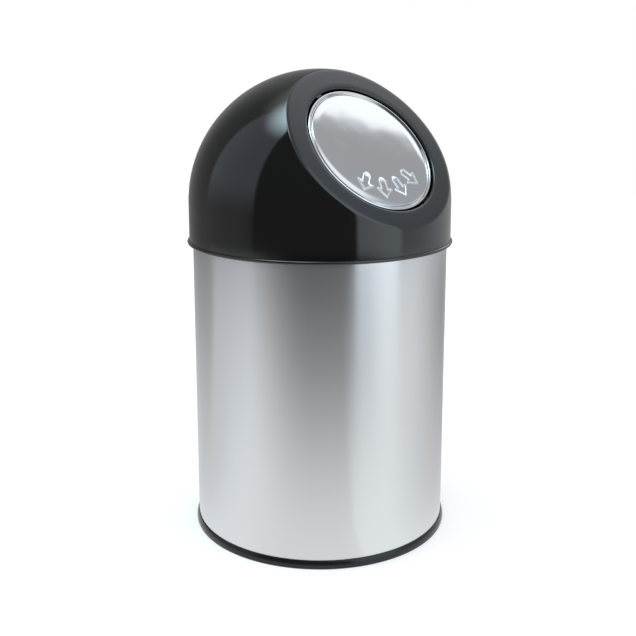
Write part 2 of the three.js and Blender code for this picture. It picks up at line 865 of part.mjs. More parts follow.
// One wire: a leg on the face, turns round the pin, and a leg on the hinge leaf
function springPath(side) {
  const faceEnd = { y: pinSlope + springFaceReach, z: -lidWall - seatGap - springWire / 2 };
  const leafEnd = { y: springLeafEnd, z: -leafTop - leafWall - seatGap - springWire / 2 };
  const start = tangentAngle(faceEnd.y, faceEnd.z, 1);
  let finish = tangentAngle(leafEnd.y, leafEnd.z, 1);
  while (finish < start + 2 * Math.PI * (springTurns - 0.5)) {
    finish += 2 * Math.PI;
  }
  const outerEnd = springInnerEnd + ((finish - start) / (2 * Math.PI)) * springPitch;
  const points = [];
  const legSteps = 5;
  const coilY = (angle) => pinSlope + springCoilRadius * Math.cos(angle);
  const coilZ = (angle) => -pinDepth + springCoilRadius * Math.sin(angle);
  for (let i = 0; i < legSteps; i++) {
    const y = THREE.MathUtils.lerp(faceEnd.y, coilY(start), i / legSteps);
    const z = THREE.MathUtils.lerp(faceEnd.z, coilZ(start), i / legSteps);
    points.push(new THREE.Vector3(side * outerEnd, y, z));
  }
  const coilSteps = Math.round((8 * (finish - start)) / (2 * Math.PI));
  for (let i = 0; i <= coilSteps; i++) {
    const angle = THREE.MathUtils.lerp(start, finish, i / coilSteps);
    const x = THREE.MathUtils.lerp(outerEnd, springInnerEnd, i / coilSteps);
    points.push(new THREE.Vector3(side * x, coilY(angle), coilZ(angle)));
  }
  for (let i = 1; i <= legSteps; i++) {
    const y = THREE.MathUtils.lerp(coilY(finish), leafEnd.y, i / legSteps);
    const z = THREE.MathUtils.lerp(coilZ(finish), leafEnd.z, i / legSteps);
    points.push(new THREE.Vector3(side * springInnerEnd, y, z));
  }
  return points;
}

// Least distance between points of a wire more than half a turn apart, less the wire itself
function leastGap(points, wire) {
  const apart = 5;
  let least = Infinity;
  for (let i = 0; i < points.length; i++) {
    for (let j = i + apart; j < points.length; j++) {
      least = Math.min(least, points[i].distanceTo(points[j]) - wire);
    }
  }
  return least;
}

place(face, 'flap_panel', flapPanel(), polishedSteel);
place(face, 'flap_hinge_leaf', hingeLeaf(), springSteel);
place(face, 'hinge_pin', hingePin(), springSteel);
for (const [name, side] of [['left', -1], ['right', 1]]) {
  place(face, `flap_stop_${name}`, stopPad(side), rubber);
  place(face, `hinge_bracket_${name}`, hingeBracket(side), springSteel);
  place(face, `pin_clip_${name}`, pinClip(side), springSteel);
  place(face, `torsion_spring_${name}`, tube(springPath(side), springWire / 2, 5), springSteel);
}
console.log(`least gap between spring turns: ${leastGap(springPath(1), springWire).toFixed(2)} mm`);

export default receptacle;
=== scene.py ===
"""Looks of a dome top waste receptacle: a brushed steel body on a black foot ring, a gloss black dome
with a polished push flap in its sloping face, and a galvanised liner with a bail handle.

The packed model is loaded as the frame, finely made surfaces stand for its plain solids, and a white studio
is set up round them. Metres, +Z up, the flap faces -Y.
"""

import math

import bmesh
import bpy
import numpy as np
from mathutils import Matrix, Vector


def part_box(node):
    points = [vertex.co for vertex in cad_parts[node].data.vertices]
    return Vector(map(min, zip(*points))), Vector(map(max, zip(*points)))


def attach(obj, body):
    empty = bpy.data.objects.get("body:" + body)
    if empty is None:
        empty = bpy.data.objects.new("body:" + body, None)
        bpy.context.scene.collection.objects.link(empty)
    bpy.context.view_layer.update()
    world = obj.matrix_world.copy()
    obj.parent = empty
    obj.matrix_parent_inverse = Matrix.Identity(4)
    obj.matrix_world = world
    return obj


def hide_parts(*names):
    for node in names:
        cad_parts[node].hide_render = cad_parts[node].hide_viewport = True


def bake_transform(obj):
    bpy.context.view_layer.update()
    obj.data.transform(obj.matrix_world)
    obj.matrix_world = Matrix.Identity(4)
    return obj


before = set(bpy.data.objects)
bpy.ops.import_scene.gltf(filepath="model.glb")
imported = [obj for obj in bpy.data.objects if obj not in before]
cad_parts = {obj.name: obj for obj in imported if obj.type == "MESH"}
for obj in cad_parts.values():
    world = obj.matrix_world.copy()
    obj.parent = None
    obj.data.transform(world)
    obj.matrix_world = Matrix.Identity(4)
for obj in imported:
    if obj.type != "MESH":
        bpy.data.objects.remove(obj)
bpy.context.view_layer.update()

bl_info = {
    "name": "Dome Top Receptacle Looks",
    "version": (1, 0, 0),
    "blender": (4, 5, 0),
    "location": "3D View > Sidebar > Receptacle",
    "description": "Builds the finished surfaces of a dome top waste receptacle around its packed model",
    "category": "Add Mesh",
}

MM = 0.001
X_AXIS = np.array([1.0, 0.0, 0.0])
SIDES = {"left": -1, "right": 1}
BODY_LOW, BODY_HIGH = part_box("body_shell")
_, RING_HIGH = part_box("base_ring")
PAN_LOW, PAN_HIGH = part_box("base_pan")
DOME_LOW, DOME_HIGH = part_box("dome_shell")
COLLAR_LOW, COLLAR_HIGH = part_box("lid_collar")
LINER_LOW, LINER_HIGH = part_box("liner_wall")
BASE_LOW, BASE_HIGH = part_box("liner_base")
_, BAIL_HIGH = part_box("bail_handle")
_, PIN_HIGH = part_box("hinge_pin")

# ---- settings


def setting(kind, **limits):
    """A kind of property, still without description and default."""
    return lambda description, default: kind(description=description, default=default, **limits)


number = setting(bpy.props.FloatProperty)
length = setting(bpy.props.FloatProperty, min=0.0, precision=5, unit="LENGTH")
share = setting(bpy.props.FloatProperty, min=0.0, max=1.0, subtype="FACTOR")
angle = setting(bpy.props.FloatProperty, subtype="ANGLE", unit="ROTATION")
colour = setting(bpy.props.FloatVectorProperty, size=3, min=0.0, max=1.0, subtype="COLOR")


class ReceptacleBodySettings(bpy.types.PropertyGroup):
    """Sizes of the body tube, the foot ring and the pan."""

    radius: length("Outer radius of the tube", BODY_HIGH.x)
    foot: length("Height of the tube's lower edge", BODY_LOW.z)
    top: length("Height of the tube's curled edge", BODY_HIGH.z)
    wall: length("Thickness of the sheet", 1.0 * MM)
    curl: length("Radius of the edge curled inwards", 2.5 * MM)
    ring_reach: length("Outer radius of the foot ring", RING_HIGH.x)
    ring_height: length("Height of the foot ring", RING_HIGH.z)
    pan_middle: length("Radius of the pan's raised middle", 158.0 * MM)


class ReceptacleDomeSettings(bpy.types.PropertyGroup):
    """Sizes of the dome."""

    top: length("Height of the crown", DOME_HIGH.z)
    foot: length("Height of the bead's underside", DOME_LOW.z)
    reach: length("Outer radius of the bead", DOME_HIGH.x)
    radius: length("Radius of half sphere and skirt", 180.0 * MM)
    wall: length("Thickness of the sheet", 1.2 * MM)
    bead: length("Radius of the rolled bead", 2.4 * MM)
    face_tilt: angle("Rise of the sloping face's normal", math.radians(39.5))
    face_offset: length("Sloping face's distance from the sphere's centre", 130.3 * MM)
    rounding: length("Radius of the edge between face and sphere", 8.0 * MM)
    opening: length("Radius of the hole for the flap", 96.7 * MM)
    opening_drop: length("Drop of the hole below the face's middle", 3.7 * MM)
    lip_rounding: length("Radius of the hole's turned-in edge", 3.0 * MM)
    lip_depth: length("Depth of the hole's turned-in edge", 9.0 * MM)


class ReceptacleFlapSettings(bpy.types.PropertyGroup):
    """Sizes of the push flap, its hinge and its springs."""

    radius: length("Radius of the flap", 94.2 * MM)
    recess: length("Depth of the flap behind the face", 3.8 * MM)
    wall: length("Thickness of the sheet", 0.8 * MM)
    edge: length("Radius of the edge of the flap's solid", 1.6 * MM)
    rim_end: length("Depth of the rim's end", 8.5 * MM)
    crown: length("Rise of the flap's middle", 1.5 * MM)
    groove: length("Depth of the groove inside the edge", 1.2 * MM)
    mark_ring: length("Radius of the ring of arrows", 63.0 * MM)
    mark_height: length("Length of an arrow", 25.0 * MM)
    mark_width: length("Width of an arrow", 22.0 * MM)
    mark_line: length("Width of an embossed line", 3.0 * MM)
    mark_rise: length("Height of an embossed line", 1.0 * MM)
    stop_turn: angle("Turn from the flap's lowest point to a stop", math.radians(35.0))
    pin_slope: length("Pin's distance up the face", 103.0 * MM)
    pin_depth: length("Pin's depth behind the face", 13.0 * MM)
    spring_wire: length("Diameter of the spring's wire", 1.6 * MM)
    spring_coil: length("Mean radius of the spring's coil", 4.1 * MM)


class ReceptacleLinerSettings(bpy.types.PropertyGroup):
    """Sizes of the liner and its bail."""

    foot: length("Height of the liner's lower edge", LINER_LOW.z)
    top: length("Height of the liner's curled edge", LINER_HIGH.z)
    reach: length("Outer radius of the curled edge", LINER_HIGH.x)
    wall: length("Thickness of the sheet", 0.8 * MM)
    curl: length("Radius of the edge curled outwards", 3.0 * MM)
    taper: length("How much narrower the foot is", 6.0 * MM)
    pivot: length("Height of the bail's pivots", 377.8 * MM)
    bail_wire: length("Diameter of the bail's wire", 5.0 * MM)
    bail_corner: length("Radius of the bail's bends", 6.0 * MM)


class ReceptacleFinishSettings(bpy.types.PropertyGroup):
    """Colours and finishes of the materials."""

    steel: colour("Brushed steel of the body", (0.60, 0.612, 0.622))
    steel_roughness: share("Roughness of the body", 0.22)
    enamel: colour("Gloss black of the dome", (0.0056, 0.0056, 0.0051))
    enamel_roughness: share("Roughness of the dome", 0.07)
    polish: colour("Polished steel of the flap", (0.62, 0.634, 0.65))
    polish_roughness: share("Roughness of the flap", 0.06)
    ring: colour("Black plastic of the foot ring", (0.008, 0.0085, 0.009))
    collar: colour("Black plastic of the collar", (0.02, 0.02, 0.021))
    galvanised: colour("Zinc-coated steel of the liner", (0.50, 0.52, 0.54))
    hardware: colour("Plated steel of the hinge", (0.52, 0.53, 0.54))
    spring: colour("Drawn spring wire", (0.36, 0.37, 0.38))
    rubber: colour("Black rubber of the stops", (0.022, 0.022, 0.022))


class ReceptacleStageSettings(bpy.types.PropertyGroup):
    """Camera and studio."""

    azimuth: angle("Camera's turn from the object's front", math.radians(-41.39))
    distance: length("Camera's distance from the axis", 1.312)
    height: length("Camera's height", 0.629)
    pitch: angle("Camera's tilt downwards", math.radians(10.78))
    lens: number("Focal length of the camera", 54.17)
    shift_x: number("Sideways shift of the lens", -0.003)
    shift_y: number("Upward shift of the lens", -0.1)
    floor_radius: length("Radius of the white floor", 4.0)


def settings_of(context, *names):
    """The scene's groups of settings, by name."""
    return [getattr(context.scene, f"receptacle_{name}") for name in names]


# ---- meshes


def arc(x, y, radius, start, stop, steps):
    """Points (x + radius cos a, y + radius sin a) for angles a from start to stop, in degrees."""
    a = np.radians(np.linspace(start, stop, steps + 1))
    return np.c_[x + radius * np.cos(a), y + radius * np.sin(a)]


def chain(*parts):
    """One array of points from arrays and single points, in order."""
    return np.concatenate([np.atleast_2d(np.asarray(p, float)) for p in parts])


def finer(points, step):
    """The same path with points added along it, none further apart than step."""
    gaps = np.linalg.norm(np.diff(points, axis=0), axis=1)
    counts = np.maximum(1, np.ceil(gaps / step)).astype(int)
    spans = zip(points[:-1], points[1:], counts)
    return chain(*(np.linspace(a, b, n, endpoint=False) for a, b, n in spans), points[-1])


def eased(value, low, high):
    """0 below low, 1 above high, and 3 x^2 - 2 x^3 in between."""
    x = np.clip((value - low) / (high - low), 0, 1)
    return x * x * (3 - 2 * x)


def unit(vectors):
    """The same directions at length 1."""
    return vectors / np.linalg.norm(vectors, axis=-1, keepdims=True)


def full_turn(steps):
    """Evenly spaced angles of one whole turn."""
    return np.linspace(0, 2 * np.pi, steps, endpoint=False)


def round_z(r, z, t):
    """Points (r sin t, -r cos t, z): a turn t about Z, from the front."""
    return np.stack(np.broadcast_arrays(r * np.sin(t), -r * np.cos(t), z), axis=-1)


def grid_quads(rows, columns, rows_close, columns_close):
    """Quads over points numbered row by row; a side that closes meets its start."""
    i, j = np.indices((rows - (not rows_close), columns - (not columns_close)))
    k, m = (i + 1) % rows, (j + 1) % columns
    corners = [i * columns + j, i * columns + m, k * columns + m, k * columns + j]
    return np.stack(corners, axis=-1).reshape(-1, 4)


def surface(points, rows_close=True, columns_close=True):
    """(points, quads) of a closed grid, its faces turned outwards by the sign of its volume."""
    flat = points.reshape(-1, 3)
    quads = grid_quads(*points.shape[:2], rows_close, columns_close)
    a, b, c, d = (flat[quads[:, k]] for k in range(4))
    volume = (a * (np.cross(b, c) + np.cross(c, d))).sum()
    return flat, quads if volume > 0 else quads[:, ::-1]


def revolved(profile, turns):
    """A closed profile of (radius, height) points turned round Z."""
    return surface(round_z(profile[:, 0], profile[:, 1], full_turn(turns)[:, None]))


def along(points, radii, sides, across):
    """Round wire: at each point a ring square to the path, which starts at tangent x across."""
    tangent = unit(np.gradient(points, axis=0))
    first = unit(np.cross(tangent, across))
    second = np.cross(first, tangent)
    a = full_turn(sides)[None, :, None]
    ring = np.cos(a) * first[:, None] + np.sin(a) * second[:, None]
    return surface(points[:, None] + radii[:, None, None] * ring, rows_close=False)


def rounded_ends(points, radius, steps=4):
    """The path with quarter-round ends in its first and last radius, and the radius at each point."""
    a = np.radians(np.linspace(0, 90, steps + 1))[:-1]
    ends = []
    for end, inner in ((points[0], points[1]), (points[-1], points[-2])):
        ends.append(end + radius * (1 - np.cos(a))[:, None] * unit(inner - end))
    tip = radius * np.sin(a)
    radii = np.r_[tip, np.full(len(points) - 2, radius), tip[::-1]]
    return chain(ends[0], points[1:-1], ends[1][::-1]), radii


def ribbon(outline, width, axis):
    """A flat strip: a closed outline of points carried along an axis by half the width to each side."""
    side = axis * width / 2
    inner = outline.mean(axis=0) + 0 * outline
    return surface(np.stack([inner - side, outline - side, outline + side, inner + side]), rows_close=False)


def new_object(name, points, quads, material):
    """A mesh object in the scene."""
    mesh = bpy.data.meshes.new(name)
    mesh.from_pydata(points.tolist(), [], quads.tolist())
    mesh.materials.append(material)
    made = bpy.data.objects.new(name, mesh)
    bpy.context.scene.collection.objects.link(made)
    return made


def piece(name, shells, material, slot, body, *stands_for, sharp=30.0):
    """One object from closed shells: doubled points merged, smooth but for edges sharper than the angle."""
    starts = np.cumsum([0] + [len(points) for points, _ in shells[:-1]])
    points = np.concatenate([p for p, _ in shells])
    quads = np.concatenate([q + s for (_, q), s in zip(shells, starts)])
    made = new_object(name, points, quads, material)
    mesh = made.data
    work = bmesh.new()
    work.from_mesh(mesh)
    bmesh.ops.remove_doubles(work, verts=work.verts, dist=1e-6)
    work.to_mesh(mesh)
    work.free()
    mesh.validate()
    mesh.shade_smooth()
    mesh.set_sharp_from_angle(angle=math.radians(sharp))
    if body:
        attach(made, body)
    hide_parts(*stands_for)
    return made


def finish_node(name, material):
    """Gives a solid of the packed model its finish."""
    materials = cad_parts[name].data.materials
    materials.clear()
    materials.append(material)


# ---- materials


class Field:
    """A number that varies over a surface: an output socket whose arithmetic adds Math nodes."""

    def __init__(self, nodes, socket):
        self.nodes = nodes
        self.socket = socket

    def __rsub__(self, other):
        return self.nodes.maths("SUBTRACT", other, self)


for sign, operation in {
    "add": "ADD", "radd": "ADD", "sub": "SUBTRACT", "mul": "MULTIPLY", "truediv": "DIVIDE", "pow": "POWER",
    "abs": "ABSOLUTE", "gt": "GREATER_THAN",
}.items():
    step = lambda field, *other, operation=operation: field.nodes.maths(operation, field, *other)
    setattr(Field, f"__{sign}__", step)


class Nodes:
    """The nodes of a material or a world, emptied."""

    def __init__(self, owner):
        owner.use_nodes = True
        self.tree = owner.node_tree
        self.tree.nodes.clear()

    def add(self, kind, sockets=None, output=0, **settings):
        """One output of a new node, with the value or link of each socket and its settings."""
        node = self.tree.nodes.new(kind)
        for key, value in settings.items():
            setattr(node, key, value)
        for key, value in (sockets or {}).items():
            if isinstance(value, Field):
                self.tree.links.new(value.socket, node.inputs[key])
            else:
                node.inputs[key].default_value = value
        return Field(self, node.outputs[output]) if len(node.outputs) else None

    def maths(self, operation, *values):
        """One step of arithmetic."""
        return self.add("ShaderNodeMath", dict(enumerate(values)), operation=operation)

    def parts(self, vector):
        """The three components of a vector."""
        split = self.add("ShaderNodeSeparateXYZ", {0: vector})
        return [Field(self, output) for output in split.socket.node.outputs]

    def vector(self, *values):
        """A vector from three components."""
        return self.add("ShaderNodeCombineXYZ", dict(enumerate(values)))

    def noise(self, vector, scale, detail=2.0, roughness=0.5):
        """Smooth noise from 0 to 1 at a number of grains per metre."""
        sockets = {"Vector": vector, "Scale": scale, "Detail": detail, "Roughness": roughness}
        return self.add("ShaderNodeTexNoise", sockets)

    def blend(self, factor, first, second):
        """A colour between two, by a factor."""
        first, second = (v if isinstance(v, Field) else (*v, 1.0) for v in (first, second))
        return self.add("ShaderNodeMix", {0: factor, 6: first, 7: second}, 2, data_type="RGBA")

    def ramp(self, factor, stops):
        """A colour or grey looked up along stops of (position, colour or grey)."""
        ramp = self.add("ShaderNodeValToRGB", {0: factor})
        elements = ramp.socket.node.color_ramp.elements
        while len(elements) < len(stops):
            elements.new(1.0)
        for element, (position, value) in zip(elements, stops):
            element.position = position
            element.color = (*(value if isinstance(value, tuple) else (value,) * 3), 1.0)
        return ramp

    def smooth(self, value, low, high):
        """0 below low, 1 above high, eased in between."""
        sockets = {0: value, 1: low, 2: high, 3: 0.0, 4: 1.0}
        return self.add("ShaderNodeMapRange", sockets, interpolation_type="SMOOTHSTEP")

    def between(self, value, rise, fall):
        """1 between two spans of (low, high), eased over them."""
        return self.smooth(value, *rise) * (1 - self.smooth(value, *fall))

    def bump(self, height, distance, strength):
        """A normal raised by a height from 0 to 1, times a distance in metres."""
        return self.add("ShaderNodeBump", {"Height": height, "Distance": distance, "Strength": strength})

    def principled(self, **sockets):
        """The material's surface, from the shader's sockets by name."""
        named = {key.replace("_", " "): value for key, value in sockets.items()}
        shader = self.add("ShaderNodeBsdfPrincipled", named)
        self.add("ShaderNodeOutputMaterial", {"Surface": shader})

    def by_ray(self, output, camera, other):
        """The output: one shader for the camera's own rays and another for all others."""
        seen = self.add("ShaderNodeLightPath", output="Is Camera Ray")
        mixed = self.add("ShaderNodeMixShader", {0: seen, 1: other, 2: camera})
        self.add(output, {"Surface": mixed})


def new_material(name, recipe, *values):
    """A material whose nodes are laid out over its object coordinates by a recipe."""
    material = bpy.data.materials.new(name)
    nodes = Nodes(material)
    recipe(nodes, nodes.add("ShaderNodeTexCoord", output="Object"), *values)
    return material


def scaled(tone, factor):
    """A colour made darker or lighter."""
    return tuple(factor * c for c in tone)


def brushed_steel(nodes, place, tone, roughness, radius):
    """Stainless sheet brushed round the tube: fine level lines, faint smears, a weld line down the back."""
    x, y, z = nodes.parts(place)
    around = nodes.maths("ARCTAN2", x, y) * radius
    grain = nodes.noise(nodes.vector(around * 14.0, z * 2600.0, 0.0), 1.0, 3.0, 0.6)
    strokes = nodes.noise(nodes.vector(around * 5.0, z * 420.0, 3.0), 1.0, 2.0, 0.5)
    smears = nodes.noise(place, 6.0, 3.0, 0.55)
    weld = nodes.smooth(abs(x), 1.6 * MM, 0.2 * MM) * (y > 0.0)
    sheet = nodes.blend(smears * 0.5 + grain * 0.2, scaled(tone, 0.95), scaled(tone, 1.05))
    nodes.principled(
        Base_Color=nodes.blend(weld * 0.5, sheet, scaled(tone, 0.7)),
        Metallic=1.0,
        Roughness=roughness - 0.03 + smears * 0.05 + grain * 0.03 + weld * 0.1,
        Anisotropic=0.85,
        Anisotropic_Rotation=0.25,
        Normal=nodes.bump(grain * 0.35 + strokes * 0.35 + weld * 4.0, 0.01 * MM, 0.6),
    )


def gloss_enamel(nodes, place, tone, roughness, dome):
    """Black enamel with a high gloss: orange peel, dull touches, and a sloping face that stayed satin, with
    a painted bluish sheen in its colour.
    """
    # Bluish black of the sloping face: a painted sheen standing in for the bluish light it reflects.
    painted_sheen_black = (0.001, 0.0045, 0.009)
    _, y, z = nodes.parts(place)
    centre, normal, _ = face_axes(dome)
    ahead = y * normal[1] + (z - centre[2]) * normal[2]
    face = nodes.smooth(ahead, dome.face_offset - 1.5 * MM, dome.face_offset - 0.3 * MM)
    peel = nodes.noise(place, 320.0, 1.0)
    waves = nodes.noise(place, 28.0, 1.0)
    touches = nodes.smooth(nodes.noise(place, 22.0, 4.0, 0.6), 0.55, 0.8)
    gloss = nodes.blend(waves * 0.6, tone, scaled(tone, 1.25))
    nodes.principled(
        # The sloping face takes the bluish black: painted sheen in its colour.
        Base_Color=nodes.blend(face, gloss, painted_sheen_black),
        Roughness=roughness + touches * 0.05 + peel * 0.01 + face * 0.13,
        IOR=1.6,
        Normal=nodes.bump((peel * 0.12 + waves * 0.6) * (1 - face * 0.95), 0.02 * MM, 0.5),
    )


def polished_steel(nodes, place, tone, roughness):
    """Pressed and polished stainless sheet: slow waves in the mirror, fine wipe marks and fingerprints."""
    waves = nodes.noise(place, 11.0, 1.5, 0.45)
    wipes = nodes.noise(place, 900.0)
    touches = nodes.smooth(nodes.noise(place, 30.0, 4.0, 0.65), 0.5, 0.85)
    nodes.principled(
        Base_Color=nodes.blend(wipes * 0.5, scaled(tone, 0.97), tone),
        Metallic=1.0,
        Roughness=roughness + touches * 0.06 + wipes * 0.02,
        Normal=nodes.bump(waves, 1.3 * MM, 0.6),
    )


def moulded_plastic(nodes, place, tone, roughness, grain, index):
    """Black plastic with a fine moulded grain and lighter scuffs."""
    fine = nodes.noise(place, grain)
    scuffs = nodes.smooth(nodes.noise(place, 45.0, 5.0, 0.7), 0.56, 0.75)
    nodes.principled(
        Base_Color=nodes.blend(scuffs * 0.5, tone, scaled(tone, 1.8)),
        Roughness=roughness + scuffs * 0.1 + fine * 0.06,
        IOR=index,
        Normal=nodes.bump(fine, 0.02 * MM, 0.4),
    )


def galvanised_sheet(nodes, place, tone):
    """Zinc-coated sheet: crystals of a few millimetres, each with its own grey and sheen."""
    crystals = nodes.add("ShaderNodeTexVoronoi", {"Vector": place, "Scale": 150.0}, "Color", feature="F1")
    grey, sheen, _ = nodes.parts(crystals)
    streaks = nodes.noise(place, 9.0, 4.0, 0.6)
    nodes.principled(
        Base_Color=nodes.blend(grey * 0.6 + streaks * 0.4, scaled(tone, 0.72), scaled(tone, 1.18)),
        Metallic=1.0,
        Roughness=0.3 + sheen * 0.16 + streaks * 0.1,
        Normal=nodes.bump(grey * 0.5 + nodes.noise(place, 600.0) * 0.5, 0.02 * MM, 0.5),
    )


def plated_steel(nodes, place, tone, roughness, lines):
    """Small steel parts: drawn or rolled lines, with a dull coat that thins in spots."""
    drawn = nodes.noise(place, lines)
    spots = nodes.smooth(nodes.noise(place, 130.0, 4.0, 0.65), 0.45, 0.75)
    nodes.principled(
        Base_Color=nodes.blend(spots * 0.5 + drawn * 0.3, tone, scaled(tone, 0.66)),
        Metallic=1.0,
        Roughness=roughness + spots * 0.12 + drawn * 0.05,
        Normal=nodes.bump(drawn, 0.02 * MM, 0.5),
    )


def matt_rubber(nodes, place, tone):
    """Black rubber with a fine bloom."""
    bloom = nodes.noise(place, 260.0, 4.0, 0.7)
    nodes.principled(
        Base_Color=nodes.blend(bloom, tone, scaled(tone, 2.2)),
        Roughness=0.75 + bloom * 0.15,
        Normal=nodes.bump(bloom, 0.05 * MM, 0.6),
    )


# ---- body


def tube_profile(size):
    """Section of the body tube: straight, with its top edge curled in over itself."""
    bevel = 0.2 * MM
    inside = size.radius - size.wall
    x, z = size.radius - size.curl, size.top - size.curl
    foot = size.foot + bevel
    return chain(
        finer(chain((size.radius, foot), (size.radius, z)), 20 * MM)[:-1],
        arc(x, z, size.curl, 0, 200, 20),
        arc(x, z, size.curl - size.wall, 200, 0, 14),
        finer(chain((inside, z), (inside, foot)), 40 * MM)[1:],
        (inside + bevel, size.foot), (size.radius - bevel, size.foot),
    )


def ring_profile(size):
    """Section of the foot ring: a groove for the tube, a shelf for the pan, a skirt with round edges."""
    gap, floor, shelf, bevel = 0.3 * MM, 3.0 * MM, 6.0 * MM, 0.4 * MM
    foot_round, top_round = 1.2 * MM, 0.35 * MM
    groove_out = size.radius + gap
    groove_in = size.radius - size.wall - gap
    shelf_in = groove_in - 3.4 * MM
    inner = size.radius - 14.0 * MM
    reach, height = size.ring_reach, size.ring_height
    return chain(
        (inner + bevel, 0.0), (reach - foot_round, 0.0),
        arc(reach - foot_round, foot_round, foot_round, -80, 0, 7),
        (reach - 0.05 * MM, 3.5 * MM), (reach - 0.5 * MM, 6.2 * MM), (reach - 1.35 * MM, 8.4 * MM),
        arc(groove_out + top_round, height - top_round, top_round, 20, 180, 7),
        (groove_out, floor), (groove_in, floor), (groove_in, shelf), (shelf_in, shelf), (shelf_in, floor),
        (inner + bevel, floor), (inner, floor - bevel), (inner, bevel),
    )


def pan_profile(size):
    """Section of the pan from its middle: raised disc, rounded step, flat, and a rim turned up."""
    wall, rise, bend, bevel = 1.2 * MM, 4.0 * MM, 2.0 * MM, 0.3 * MM
    low, top = PAN_LOW.z, PAN_HIGH.z
    reach, middle = PAN_HIGH.x, size.pan_middle
    t = np.linspace(0, 1, 9)
    step = np.c_[middle + 6.0 * MM * t, low + rise * (0.5 + 0.5 * np.cos(np.pi * t))]
    return chain(
        (0.0, low + rise), (middle / 2, low + rise), step, (reach - bend, low),
        arc(reach - bend, low + bend, bend, -90, 0, 6)[1:],
        (reach, top - bevel), (reach - bevel, top),
        (reach - wall + bevel, top), (reach - wall, top - bevel),
        arc(reach - bend, low + bend, bend - wall, 0, -90, 5),
        step[::-1] + (0.0, wall), (middle / 2, low + rise + wall), (0.0, low + rise + wall),
    )


class RECEPTACLE_OT_body(bpy.types.Operator):
    """Builds the brushed body tube, its foot ring and its pan"""

    bl_idname = "receptacle.body"
    bl_label = "Body, Foot Ring and Pan"

    def execute(self, context):
        size, finish = settings_of(context, "body", "finish")
        steel = new_material(
            "brushed body steel", brushed_steel, finish.steel, finish.steel_roughness, size.radius
        )
        plastic = new_material("foot ring plastic", moulded_plastic, finish.ring, 0.17, 900.0, 1.4)
        zinc = new_material("pan zinc", galvanised_sheet, finish.galvanised)
        tube = revolved(tube_profile(size), 288)
        piece("body_tube", [tube], steel, "body_steel", "bin_body", "body_shell")
        ring = revolved(ring_profile(size), 288)
        piece("foot_ring", [ring], plastic, "ring_plastic", "bin_body", "base_ring")
        pan = revolved(pan_profile(size), 192)
        piece("pressed_pan", [pan], zinc, "galvanised", "bin_body", "base_pan")
        return {"FINISHED"}


# ---- dome and collar


def face_axes(dome):
    """The sphere's centre, the sloping face's normal and its way up the slope."""
    tilt = dome.face_tilt
    centre = np.array([0.0, 0.0, dome.top - dome.radius])
    normal = np.array([0.0, -math.cos(tilt), math.sin(tilt)])
    slope = np.array([0.0, math.sin(tilt), math.cos(tilt)])
    return centre, normal, slope


def face_way(dome, turn):
    """The direction along the face at a turn from its lowest point: sin turn x - cos turn slope."""
    slope = face_axes(dome)[2]
    return np.sin(turn)[..., None] * X_AXIS - np.cos(turn)[..., None] * slope


def on_face(dome, turn, radius, depth, drop=0.0):
    """centre + (offset - depth) normal - drop slope + radius along the face at the turn."""
    centre, normal, slope = face_axes(dome)
    turn, radius, depth = np.broadcast_arrays(turn, radius, depth)
    middle = centre - drop * slope
    ahead = (dome.face_offset - depth)[..., None] * normal
    return middle + ahead + radius[..., None] * face_way(dome, turn)


def swell(way):
    """1 above the sphere's centre; below it 1 / cos(elevation), which turns the sphere into a tube."""
    level = np.hypot(way[..., 0], way[..., 1]) / np.linalg.norm(way, axis=-1)
    return np.where(way[..., 2] < 0, 1 / np.maximum(level, 1e-6), 1.0)


def dome_skin(dome, turns, inset, lip, flat, rounding, bands):
    """One skin for each turn about the face's normal: lip, flat face, rounding, great circles to the skirt.

    The rounding is a ball that touches face and sphere. Each great circle runs from the rounding's edge to
    the skirt, and the one at the back passes the crown. lip, flat, rounding and bands are numbers of steps.
    """
    centre, normal, _ = face_axes(dome)
    t = turns[:, None]
    lip_depths = np.linspace(dome.lip_depth, dome.lip_rounding, 4)[None, :-1]
    lip_wall = on_face(dome, t, dome.opening + inset, lip_depths, dome.opening_drop)
    a = np.radians(np.linspace(180, 90, lip + 1))[None]
    bend = dome.lip_rounding - inset
    bend_radii = dome.opening + dome.lip_rounding + bend * np.cos(a)
    lip_bend = on_face(dome, t, bend_radii, dome.lip_rounding - bend * np.sin(a), dome.opening_drop)
    height, reach = dome.face_offset - dome.rounding, dome.radius - dome.rounding
    edge_radius = math.sqrt(reach**2 - height**2)
    edge_angle = math.acos(height / reach)
    b = np.linspace(0, edge_angle, rounding + 1)[None]
    ball = dome.rounding - inset
    edge = on_face(dome, t, edge_radius + ball * np.sin(b), dome.rounding - ball * np.cos(b)) - centre
    swollen = 1 + (swell(edge) - 1) * (b / edge_angle)
    edge = edge * swollen[..., None] + centre
    s = np.linspace(0, 1, flat + 2)[None, 1:-1, None]
    face = lip_bend[:, -1:] * (1 - s) + edge[:, :1] * s
    start = math.cos(edge_angle) * normal + math.sin(edge_angle) * face_way(dome, turns)
    skirt_line = COLLAR_HIGH.z + 0.3 * MM - centre[2]
    foot = unit(round_z(dome.radius, skirt_line, turns))
    to_crown = math.pi / 2 - dome.face_tilt - edge_angle
    crown = to_crown / (to_crown + math.pi / 2 + math.atan(-skirt_line / dome.radius))
    near = max(2, round(bands * crown))
    w = np.r_[np.linspace(0, crown, near + 1)[1:], np.linspace(crown, 1, bands - near + 1)[1:]][:, None]
    whole = np.arccos(np.clip((start * foot).sum(axis=1), -1, 1))[:, None, None]
    ways = (np.sin((1 - w) * whole) * start[:, None] + np.sin(w * whole) * foot[:, None]) / np.sin(whole)
    sphere = centre + ways * swell(ways)[..., None] * (dome.radius - inset)
    return np.concatenate([lip_wall, lip_bend, face, edge, sphere], axis=1)


